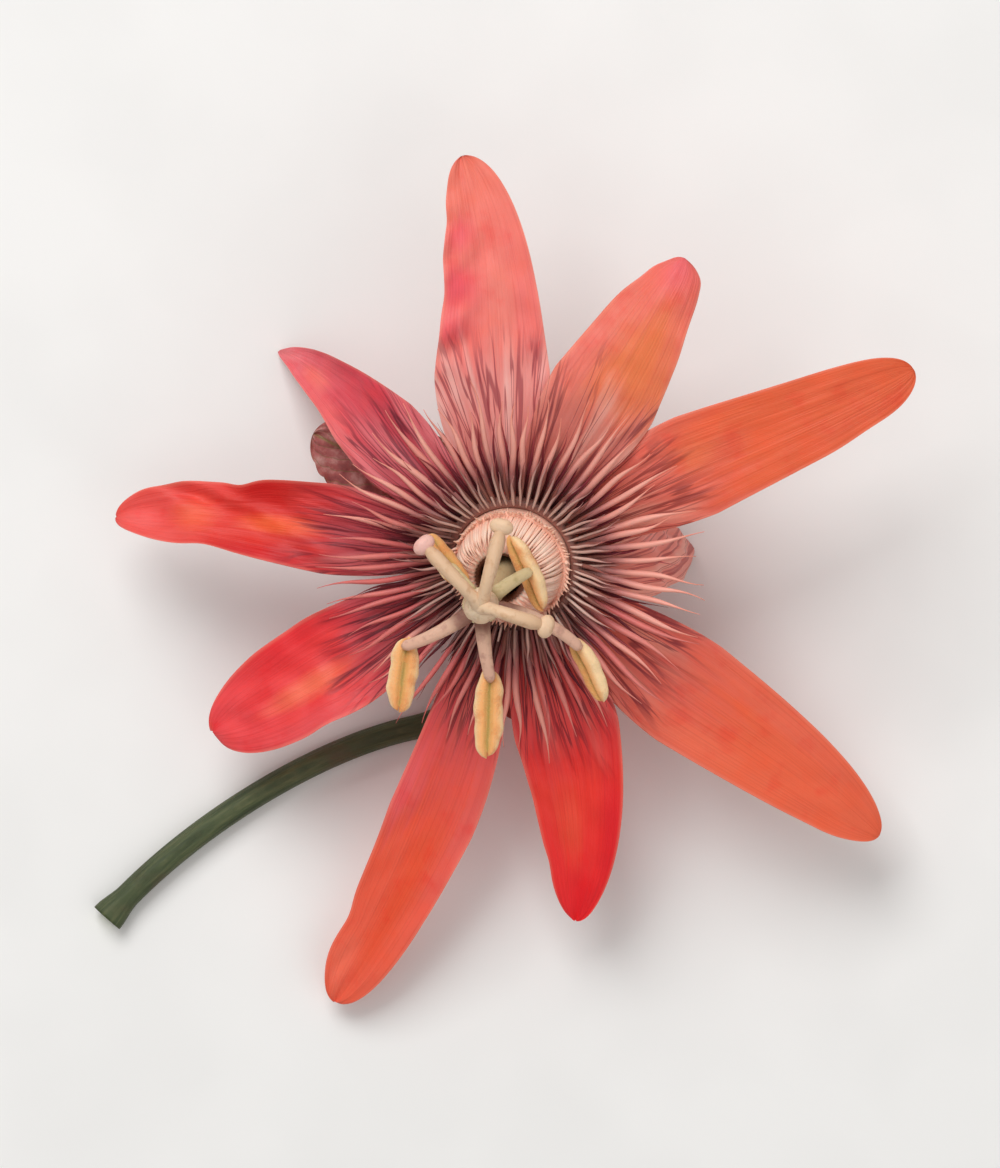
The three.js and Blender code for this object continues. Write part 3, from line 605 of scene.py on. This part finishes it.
MAUVE = bract_finish()
for i, shape in enumerate(BRACTS):
    azimuth, reach, height = shape["tip"]
    side = lean(heading(azimuth + 90, 0))
    line = (lean(polar(azimuth, *BRACT["root"])), lean(heading(azimuth, shape["leaves"])),
            lean(polar(azimuth, reach, height)), lean(heading(azimuth, shape["arrives"])), side, side, 0)
    node = f"bract_{i + 1}"
    piece, _ = blade(node + "_skin", line, shape, BRACT, MAUVE, rows=140, teeth=0.07)
    settle(piece, "bract", node)

# ---- Cup, corona and operculum, in the flower's own frame ----


def lathe(profile, around):
    """Rings of points round the flower's axis, one for each [radius, z] of the profile."""
    radius, z = np.asarray(profile, float).T
    return polar(np.linspace(0, 360, around, endpoint=False), radius[:, None], z[:, None])


def smooth_profile(corners, count):
    """A Catmull-Rom curve through [radius, z] corners, at `count` places along them."""
    corners = np.asarray(corners, float)
    before, after = 2 * corners[0] - corners[1], 2 * corners[-1] - corners[-2]
    padded = np.concatenate([[before], corners, [after]])
    at = np.linspace(0, len(corners) - 1, count)
    k = np.minimum(at.astype(int), len(corners) - 2)
    t = (at - k)[:, None]
    a, b, c, d = (padded[k + ahead] for ahead in range(4))
    square, cube = 2 * a - 5 * b + 4 * c - d, 3 * b - a - 3 * c + d
    return 0.5 * (2 * b + (c - a) * t + square * t**2 + cube * t**3)


def cup_finish():
    """The cup's outside: brown-green at the foot, red at the rim, ribbed and mottled."""
    f = soft_tissue("cup_red_green")
    mottle = f.speckle(420.0, 4)
    colour = f.ramp(f.mark("along"), (0.0, "5d5f38"), (0.35, "8a4d3c"),
                    (0.62, "c0473c"), (0.8, "7b2438"), (1.0, "3c1418"))
    colour = f.tint(colour, mottle, 0.4, 0.7, 0.35, "b9885a")
    f.bump(mottle, 0.15, 0.7)
    f.bump(f.speckle(1800.0, 2), 0.05, 0.6)
    return f.done(colour)


def floral_cup():
    """The solid's bowl with round shoulders. Its outside swells into five pouches under the
    sepals by 0.6 cos^2 mm, and has 15 faint ribs. It is lathed from its foot, over the rim."""
    stations, pouch, rib = 90, 0.6, 0.08
    profile = smooth_profile(
        [(0.05, -9.8), (2.4, -9.6), (5.4, -8.3), (7.6, -6.4), (8.25, -4.4), (8.1, -2.3), (8.0, -0.6),
         (7.4, -0.35), (6.2, -0.4), (5.8, -1.0), (5.4, -3.2), (3.6, -5.2), (0.05, -5.6)], stations)
    points = lathe(profile, 120)
    radius = np.linalg.norm(points[..., :2], axis=-1)
    azimuth = np.arctan2(points[..., 1], points[..., 0])
    z = points[..., 2]
    outside = smooth(radius, 5.0, 6.5) * smooth(-z, 2.2, 3.2)
    level = np.sin(np.pi * np.clip((-2.3 - z) / 7.5, 0, 1)) * outside
    pouches = pouch * np.cos(2.5 * (azimuth - radians(SEPAL["root"][0]))) ** 2
    swell = level * (pouches + rib * np.cos(15 * azimuth))
    points[..., :2] *= (1 + swell / np.maximum(radius, 0.1))[..., None]
    along = np.linspace(0, 1.35, stations)[:, None]
    return skin("floral_cup_skin", lean(points), cup_finish(), along=along)


settle(floral_cup(), "cup", "floral_cup")


THREAD_STEPS, THREAD_AROUND = 16, 5


def threads(count, start_turn, foot, tip, rise, radius, seed, curl, uneven, belly=0.5, ends=0.35,
            bend=1.0, drift=0.0):
    """Tapering threads that leave a ring. Each runs from foot (radius, z) to tip (radius, z):
    its radius follows t^bend and its height a quadratic arc. It curls sideways by a slow sine
    and ends unevenly. It is thickest at the share `belly` of its length and thins to `ends` of
    that. Its tone runs from 0 to 1, half at random and half higher on the flower's upper side."""
    rng = np.random.default_rng(seed)
    azimuth = (np.arange(count) + start_turn + rng.uniform(-0.2, 0.2, count))[:, None] * 360 / count
    t = np.linspace(0, 1, THREAD_STEPS)[None]
    reach = tip[0] * (1 + uneven * rng.uniform(-1, 0.6, (count, 1)))
    end = tip[1] + 5 * uneven * rng.uniform(-1, 1, (count, 1))
    r = mix(foot[0], reach, t**bend)
    bow = 2 * t * (1 - t) * (rise + rng.uniform(-0.35, 0.35, (count, 1)))
    z = mix(foot[1], end, t) + bow + 0.25 * curl * t**3 * np.sin(9 * t + rng.uniform(0, 6.3, (count, 1)))
    sway = rng.uniform(-1, 1, (count, 1)) * 2.4 * t**1.6
    beat = t * rng.uniform(0.8, 1.6, (count, 1)) + rng.random((count, 1))
    sway += curl * np.sin(2 * np.pi * beat) * t
    line = polar(azimuth + sway, r, z) + polar(DRIFT_TOWARDS, drift, 0) * smooth(t, 0, 1)[..., None]
    swell = np.exp(-(((t - belly) / 0.42) ** 2))
    taper = mix(1.0, ends, smooth(t, 0.6, 1.0))
    thick = radius * (0.35 + 0.65 * swell) * taper * (1 + 0.12 * rng.uniform(-1, 1, (count, 1)))
    points = tube(line, thick, THREAD_AROUND)
    upper = 0.5 + 0.5 * np.cos(radians(azimuth - UPPER_SIDE))
    tone = 0.5 * rng.random((count, 1)) + 0.5 * upper
    return points, t[..., None], tone[..., None]


def thread_finish(name, low_tone, *stops):
    """Corona threads: colours in bands from foot to tip, and another colour where the tone is
    low, with fine grain."""
    f = soft_tissue(name, Roughness=0.42, Subsurface_Weight=0.08)
    along, tone = f.mark("along"), f.mark("tone")
    colour = f.ramp(f.plus(along, f.swing(tone, 0.16)), *stops)
    colour = f.tint(colour, tone, 0.6, 0.2, 0.8, low_tone)
    grain = f.speckle(1300.0, 3)
    colour = f.tint(colour, grain, 0.4, 0.7, 0.3, "f3c3b4", "SOFT_LIGHT")
    f.bump(grain, 0.05, 0.7)
    return f.done(colour)


THREAD_FINISHES = {name: thread_finish(name, *look) for name, *look in (
    ("long_pale_thread", "cc5c5c", (0.0, "dcbcb4"), (0.2, "bc8c88"), (0.36, "c07c78"),
     (0.52, "eca294"), (0.75, "f6ac9c"), (1.0, "ec907c")),
    ("long_dark_thread", "54121e", (0.0, "805050"), (0.1, "502628"), (0.6, "782c38"),
     (0.85, "9c4044"), (1.0, "bc5c58")),
    ("short_dark_thread", "340a0c", (0.0, "c4a098"), (0.15, "94685e"), (0.7, "90564e"), (1.0, "a45854")),
    ("short_pale_thread", "6c2c2c", (0.0, "ecd0c4"), (0.4, "d4aea2"), (0.8, "c09088"), (1.0, "ac706c")),
    ("dome_thread", "f2b49c", (0.0, "e8a48e"), (0.2, "f8c0aa"), (0.6, "ffdac6"), (1.0, "fcc8b0")))}
OUTER = ("dark_thread", "outer_corona")
INNER = ("pale_thread", "inner_corona")


def ring_of(inner, outer, bottom, top):
    """A ring round the flower's axis with a squarish section, as a closed loop of stations."""
    turn = circle(20)
    radius = (inner + outer) / 2 + (outer - inner) / 2 * squared(np.cos(turn), 0.6)
    z = (bottom + top) / 2 + (top - bottom) / 2 * squared(np.sin(turn), 0.6)
    return lathe(np.stack([radius, z], -1), 96)


def thread_row(name, place, look, *row, **how):
    points, along, tone = threads(*row, **how)
    settle(skin(name, lean(points), THREAD_FINISHES[look], along=along, tone=tone), *place)


def thread_ring(name, place, look, *sizes):
    points = ring_of(*sizes)
    azimuth = np.arctan2(points[..., 1], points[..., 0])
    tone = 0.2 + 0.5 * (0.5 + 0.5 * np.cos(azimuth - radians(UPPER_SIDE)))
    finish = THREAD_FINISHES[look]
    settle(skin(name, lean(points), finish, ring=True, along=0.2, tone=tone), *place)


thread_ring("corona_ring", OUTER, "short_dark_thread", 6.9, 8.2, -0.3, 1.9)
thread_row("corona_pale_threads", OUTER, "long_pale_thread", 62, 0.0, (7.6, 1.0), (22.6, 4.9),
           1.2, 0.38, 3, belly=0.46, ends=0.2, curl=1.1, uneven=0.12)
thread_row("corona_dark_threads", OUTER, "long_dark_thread", 62, 0.5, (7.6, 0.4), (19.5, 4.0),
           1.0, 0.23, 4, belly=0.3, ends=0.2, curl=1.4, uneven=0.12)
thread_row("corona_short_threads", OUTER, "short_dark_thread", 64, 0.3, (7.5, 1.3), (13.4, 4.9),
           1.0, 0.28, 5, belly=0.35, ends=0.3, curl=0.6, uneven=0.14)
thread_row("corona_fine_pale_threads", OUTER, "short_pale_thread", 64, 0.4, (7.4, 1.9), (13.8, 5.3),
           1.0, 0.19, 7, belly=0.35, ends=0.4, curl=0.7, uneven=0.16)
thread_ring("inner_corona_ring", INNER, "dome_thread", 5.9, 6.9, -0.3, 2.8)
thread_row("inner_corona_outer_threads", INNER, "dome_thread", 90, 0.0, (6.5, 1.0), (7.3, 3.6),
           0.9, 0.22, 8, curl=0.2, bend=2.0, uneven=0.05)
thread_row("inner_corona_inner_threads", INNER, "dome_thread", 120, 0.5, (6.4, 0.8), (3.7, 5.2),
           2.5, 0.23, 9, curl=0.2, bend=2.0, uneven=0.1, drift=1.1)


def operculum_finish():
    """The pale dome: pink in the pleats, pinkish white on their crests, and dark brown at the mouth,
    which is painted shade down inside it.
    """
    f = soft_tissue("pink_dome")
    grain = f.speckle(700.0, 4)
    patches = f.speckle(200.0, 2)
    colour = f.ramp(f.mark("crest"), (0.0, "f4b49e"), (0.6, "ffd0ba"), (1.0, "ffe4d2"))
    colour = f.tint(colour, patches, 0.42, 0.62, 0.5, "f6ac96")
    colour = f.tint(colour, grain, 0.4, 0.7, 0.3, "fae4d4")
    # painted shade: the wall darkens to brown where it turns down into the mouth
    colour = f.tint(colour, f.mark("along"), 0.8, 0.93, 0.95, "643018")
    f.bump(grain, 0.1, 0.6)
    return f.done(colour)


def operculum():
    """A pleated dome that leans in to the column: a thin wall, lathed up its outside and back
    down its inside. Its mouth drifts over, to stay round the column."""
    stations, around, pleats, drift = 50, 240, 40, 1.3
    outer = smooth_profile([(5.5, 0.0), (5.7, 1.4), (5.75, 2.8), (5.35, 4.0), (4.6, 4.75), (3.8, 5.0),
                            (3.1, 4.7), (2.8, 3.7)], stations)
    inner = outer[::-1] - np.array((0.35, 0.4))
    points = lathe(np.concatenate([outer, inner]), around)
    azimuth = circle(around)[None]
    share = np.concatenate([np.linspace(0, 1, stations), np.linspace(1.3, 1, stations)])[:, None]
    ripple = np.cos(pleats * azimuth + 1.5 * share)
    points[..., :2] *= (1 + 0.02 * smooth(share, 0, 0.5) * ripple)[..., None]
    points[..., 2] += 0.08 * smooth(share, 0.1, 0.6) * ripple
    points += polar(DRIFT_TOWARDS, drift, 0) * smooth(np.minimum(share, 1), 0, 1)[..., None]
    return skin("operculum_skin", lean(points), operculum_finish(), ring=True,
                along=share, crest=0.5 + 0.5 * ripple)


settle(operculum(), "operculum", "operculum")

# ---- Column, stamens and pistil, in the upright frame ----

# Where a filament ends (azimuth, reach and drop below the hub) and how far it swings aside on the
# way, then its anther's azimuth, length, how far from its end it is held, and turn about its length
STAMENS = [
    (208, 9.9, 1.2, 8, 263, 8.8, 1, 0),
    (277, 8.4, 0.6, -4, 268, 10.4, 1, 0),
    (337.5, 12.2, 1.4, 16, 296, 8.2, 1, 60),
    (35.5, 6.7, 0.6, 6, 294, 9.6, 4.8, 55),
    (128, 5.6, 1.6, 0, 128, 7.4, 2.6, 50),
]
STYLES = [(133, 9.4, 1.4), (75.5, 9.2, 2.2), (-17.5, 7.6, 2.0)]  # azimuth, reach and rise


def stem_finish(name, low, high, fleck, root=None):
    """Cream stem tissue: two colours along it, fine lengthwise lines and small flecks, and a darker
    colour at its root, partly the tissue's own dark base and partly a painted shadow under the hub."""
    f = soft_tissue(name, Roughness=0.45, Subsurface_Radius=(1.0, 0.7, 0.45))
    along = f.mark("along")
    lines = f.streaks((along, 5.0), (f.mark("round"), 14.0), 3)
    flecks = f.speckle(900.0, 3)
    colour = f.ramp(along, (0.0, low), (1.0, high))
    colour = f.tint(colour, flecks, 0.5, 0.72, 0.55, fleck)
    # darker root: partly the filament's own dark base, partly painted shadow under the hub
    if root:
        colour = f.tint(colour, along, 0.42, 0.24, 0.75, root)
    f.bump(lines, 0.12, 0.6)
    f.bump(flecks, 0.05, 0.6)
    return f.done(colour)


def stem(name, line, radius, around, t, finish, **how):
    """A tube along a midline, marked with its place t along and its height round."""
    points = tube(line, radius, around, **how)
    return skin(name, points, finish, along=t[:, None], round=np.sin(circle(around))[None])


def column():
    """The column rises on a cubic arc from the cup's floor to the hub and flares at its top."""
    axis = lean(UP)
    foot = -5.1 * axis  # on the cup's floor
    t = np.linspace(0, 1, 60)
    line = bezier(t, foot, foot + 9 * axis, HUB - 5 * UP, HUB + 0.2 * UP)
    radius = 1.45 + 0.5 * (1 - t) ** 4 + 0.75 * smooth(t, 0.88, 1.0)
    return stem("column_skin", line, radius, 28, t, STEMS["column_cream"], reference=(1, 0, 0))


def filament(name, finish, azimuth, reach, drop, sweep):
    """A flat tapering strap from the hub that arches out to its anther, with a thin neck that
    turns down by s^1.5 into the anther's back."""
    arch = 1.6
    end = HUB + polar(azimuth, reach, -drop)
    bend = HUB + polar(azimuth + sweep, 0.6 * reach, arch - drop / 2)
    t, s = np.linspace(0, 1, 30), np.linspace(0, 1, 9)[1:]
    neck = moved(end, (0.5 * s, heading(azimuth, 0)), (-0.9 * s**1.5, UP))
    line = np.concatenate([bezier(t, HUB - 0.4 * UP, bend, end), neck])
    radius = np.concatenate([1.05 - 0.4 * t**0.8, mix(0.65, 0.35, s)])
    return stem(name, line, radius, 18, np.concatenate([t, 0 * s + 1]), finish, flat=0.6)


def anther_finish():
    """Pollen sacs: golden skin with paler edges, olive in the grooves and dusted with pollen."""
    f = soft_tissue("pollen_gold", Roughness=0.75, Subsurface_Radius=(1.0, 0.6, 0.2))
    grains = f.add("TexVoronoi", {"Vector": f.add("TexCoord", {}, "Object"), "Scale": 4200.0}, "Distance")
    clouds = f.speckle(420.0, 4)
    over = f.size(f.plus(f.mark("round"), f.swing(clouds, 0.3)))
    colour = f.ramp(over, (0.03, "b49450"), (0.16, "dca864"), (0.45, "f4ae6e"),
                    (0.72, "f4bc82"), (0.95, "f8d4a4"))
    colour = f.tint(colour, clouds, 0.48, 0.68, 0.6, "e08c50")
    colour = f.blend(f.spread(grains, 0.0, 0.5, 0.2, 0.0), colour, "f8dca6")
    f.bump(f.spread(grains, 0.0, 0.6, 1.0, 0.0), 0.06, 0.7)
    f.bump(clouds, 0.2, 0.7)
    return f.done(colour)


def anther(name, azimuth, reach, drop, hangs, length, grip, tilt):
    """A pod in two lobes: sections are squarish loops whose upper side dips in a deep groove,
    and whose width follows (1 - s^3.2)^0.5 along it, with a slight bow. Slow sines make the
    lobes uneven, and both ends are notched."""
    half_width, half_height, gap = 1.7, 0.95, 0.3
    s, turn = np.linspace(-1, 1, 48)[:, None], circle(44)[None]
    fullness = np.maximum(1 - np.abs(s) ** 3.2, 0.002) ** 0.5
    x, z = squared(np.cos(turn), 0.8), squared(np.sin(turn), 0.8)
    groove = 0.75 * np.exp(-((x / 0.2) ** 2)) * (z > 0) - 0.25 * np.exp(-((x / 0.3) ** 2)) * (z < 0)
    start = azimuth / 20
    uneven = 1 + 0.06 * np.sin(6.1 * s + start + 1.5 * np.sign(x)) + 0.03 * np.sin(14 * s + 2 * start)
    notch = 1 - 0.16 * np.exp(-((x / 0.3) ** 2)) * s**4 + 0.03 * x * np.sin(start)
    across = half_width * x * fullness * uneven
    height = half_height * (z - groove) * fullness + 0.4 * s**2 - 0.2
    out = length / 2 * s * notch
    roll = radians(tilt)
    across, height = (across * np.cos(roll) + height * np.sin(roll),
                      height * np.cos(roll) - across * np.sin(roll))
    along, side = heading(hangs, 0), heading(hangs - 90, 0)
    tip = HUB + polar(azimuth, reach, -drop)
    below = gap + np.hypot(half_height * np.cos(roll), 1.75 * np.sin(roll))
    middle = tip + along * (length / 2 - grip) - UP * below
    points = moved(middle, (across, side), (out, along), (height, UP))
    return skin(name, points, POLLEN, round=x)


def pistil():
    """An egg-shaped ovary with three faint furrows, three styles that thicken towards their
    ends, and two-lobed stigmas."""
    above, half_height, girth, stigma = 3.8, 3.1, 2.1, 1.15
    middle = HUB + above * UP
    s = np.linspace(-1, 1, 48)[:, None]
    fullness = np.maximum(1 - s**2, 0.0004) ** 0.5
    azimuth = np.linspace(0, 360, 60, endpoint=False)[None]
    furrows = 1 - 0.05 * np.cos(3 * radians(azimuth)) ** 8
    egg = middle + polar(azimuth, girth * fullness * (1 - 0.12 * s) * furrows, half_height * s)
    along = (s + 1) / 2
    settle(skin("ovary", egg, STEMS["ovary_cream"], along=along, round=np.sin(radians(azimuth))),
           "pistil", "pistil")
    turn = circle(36)[None]
    out = stigma * fullness * (1 + 0.22 * np.abs(np.cos(turn)))
    crown = middle + (half_height - 1) * UP
    for k, (azimuth, reach, rise) in enumerate(STYLES):
        t = np.linspace(0, 1, 34)
        end = crown + polar(azimuth, reach, rise)
        line = bezier(t, crown, crown + polar(azimuth, 0.3 * reach, rise + 2.4), end)
        radius = 0.7 + 0.25 * t**1.5 + 0.35 * (1 - smooth(t, 0, 0.3)) - 0.35 * smooth(t, 0.85, 1)
        settle(stem(f"style_{k + 1}", line, radius, 18, t, STEMS["style_cream"]), "pistil", "pistil")
        side, ahead = heading(azimuth + 90, 0), heading(azimuth, 0)
        knob = moved(end + 0.3 * ahead, (out * np.cos(turn), side),
                     (0.8 * out * np.sin(turn), ahead), (0.95 * s + 0 * turn, UP))
        finish = STEMS["stigma_cream" if k else "stigma_pink"]
        settle(skin(f"stigma_{k + 1}", knob, finish, along=along, round=np.sin(turn)), "pistil", "pistil")


STEMS = {name: stem_finish(name, *look) for name, *look in (
    ("column_cream", "a08058", "e4d0a4", "b08c64"),
    # the filaments' last colours are their dark roots, partly painted shadow under the hub
    ("filament_pink", "d8b298", "e4b49c", "b07c70", "743c34"),
    ("filament_olive", "d8c698", "e0c898", "b09c64", "8c6c4c"),
    ("ovary_cream", "d4b890", "fce0c0", "c4a878"),
    ("style_cream", "ecccaa", "dcb490", "c89870"),
    ("stigma_pink", "dca494", "f4c0b4", "d8948c"),
    ("stigma_cream", "dcb48c", "f0ccaa", "cc9c78"))}
POLLEN = anther_finish()

settle(column(), "column", "column")
for i, (*end, sweep, hangs, length, grip, tilt) in enumerate(STAMENS, 1):
    finish = STEMS["filament_pink" if i < 4 else "filament_olive"]
    settle(filament(f"filament_{i}", finish, *end, sweep), "column", "column")
    settle(anther(f"anther_{i}_skin", *end, hangs, length, grip, tilt), "anther", f"anther_{i}")
pistil()

# ---- Stalk ----


def stalk_finish():
    """Olive stalk: brown and green streaks along it, a paler pith at the cut end."""
    f = soft_tissue("olive_stalk", Roughness=0.55, Subsurface_Weight=0.06,
                    Subsurface_Radius=(0.6, 1.0, 0.3))
    along = f.mark("along")
    streaks = f.streaks((along, 9.0), (f.mark("round"), 5.0), 5, 0.65)
    patches = f.speckle(130.0, 3)
    colour = f.ramp(streaks, (0.3, "343e26"), (0.5, "4a5436"), (0.72, "6c6e4a"))
    colour = f.tint(colour, patches, 0.45, 0.7, 0.6, "604c38")
    colour = f.tint(colour, along, 0.9, 1.0, 1.0, "7a7f4c")
    colour = f.blend(f.mark("cut"), colour, "b9bd86")
    f.bump(streaks, 0.25, 0.9)
    f.bump(f.speckle(1600.0, 2), 0.06, 0.6)
    return f.done(colour)


def stalk():
    """A five-ribbed tube on two cubic curves: along the floor, then up into the cup's foot.
    It swells a little where it was cut and narrows slowly towards the flower."""
    lying = 1.6 * np.cos(np.pi / 10) - CENTRE[2]  # the solid's radius on one of its ten flats
    cut, lift = np.array((-48.75, -42.9, lying)), np.array((-12.0, -20.0, lying))
    way_in, way_on, left = (heading(azimuth, 0) for azimuth in (49, 12, 12 + 90))
    axis = lean(UP)
    top = -9.6 * axis
    t = np.linspace(0, 1, 110)
    lower = bezier(t, cut, cut + 14 * way_in, lift - 12 * way_on, lift)
    upper = bezier(t[1:], lift, lift + 14 * way_on, top - 9.5 * axis, top)
    line = np.concatenate([lower, upper])
    travelled = np.concatenate([[0], np.cumsum(np.linalg.norm(np.diff(line, axis=0), axis=1))])
    u = travelled / travelled[-1]
    around = circle(40)[None]
    ribs = 1 + 0.03 * np.cos(5 * around + 3 * u[:, None])
    radius = (1.5 + 0.25 * smooth(u, 0.96, 1.0) - 0.05 * np.sin(np.pi * u))[:, None] * ribs
    wide = 1 + 0.35 * (1 - smooth(u, 0, 0.05))[:, None]
    along = slope_of(line)
    up = unit(np.cross(along, np.broadcast_to(left, along.shape)))
    side = np.cross(up, along)
    points = moved(line[:, None], (radius * wide * np.cos(around), side[:, None]),
                   (radius * np.sin(around), up[:, None]))
    inner = mix(points[0].mean(0), points[0], 0.8)
    rim = np.stack([inner + 0.25 * along[0], inner])
    points = np.concatenate([rim, points])
    u = np.concatenate([[0, 0], u])[:, None]
    cut_mark = np.concatenate([[1, 1], np.zeros(len(u) - 2)])[:, None]
    return skin("stalk_skin", points, stalk_finish(), along=u, round=np.sin(around), cut=cut_mark)


settle(stalk(), "stalk", "stalk")

# ---- Floor, light and camera ----


def floor():
    """A plain pale sheet under the flower, far wider than the view."""
    f = Finish("pale_floor", Roughness=0.9, Specular_IOR_Level=0.1)
    colour = f.ramp(f.speckle(40.0, 2), (0.4, "f2f1ef"), (0.6, "f5f4f2"))
    mesh = bpy.data.meshes.new("floor")
    far = 3.0
    corners = [(-far, -far, 0), (far, -far, 0), (far, far, 0), (-far, far, 0)]
    mesh.from_pydata(corners, [], [(0, 1, 2, 3)])
    mesh.materials.append(f.done(colour))
    put("floor", mesh)


def soft_light(name, azimuth, elevation, distance, size, power):
    """A square panel of light that faces the flower from an azimuth and elevation."""
    lamp = bpy.data.lights.new(name, "AREA")
    lamp.size = size
    lamp.energy = power
    panel = put(name, lamp)
    panel.location = heading(azimuth, elevation) * distance
    panel.rotation_euler = (np.pi / 2 - radians(elevation), 0, radians(azimuth + 90))


floor()
# name, azimuth and elevation in degrees, distance and size in metres, power in watts
for light in (("key", 115, 52, 0.9, 0.5, 5.2), ("fill", -40, 50, 1.0, 0.8, 1.8),
              ("top", 200, 84, 1.1, 0.9, 1.6)):
    soft_light(*light)
room = bpy.data.worlds.new("pale_room")
room.use_nodes = True
sky = room.node_tree.nodes["Background"].inputs
sky["Color"].default_value = (1.0, 0.99, 0.97, 1)
sky["Strength"].default_value = 0.28
bpy.context.scene.world = room
bpy.context.scene.view_settings.view_transform = "Standard"

LENS, SENSOR = 300.0, 36.0  # a long lens, for hardly any perspective
VIEW_HEIGHT, FLOWER_HEIGHT = 0.1378, 0.022  # metres seen from top to bottom, at the rim's height
camera = bpy.data.cameras.new("camera")
camera.sensor_fit = "VERTICAL"
camera.sensor_height = SENSOR
camera.lens = LENS
eye = put("camera", camera)
eye.location = (0, 0, FLOWER_HEIGHT + VIEW_HEIGHT * LENS / SENSOR)
bpy.context.scene.camera = eye
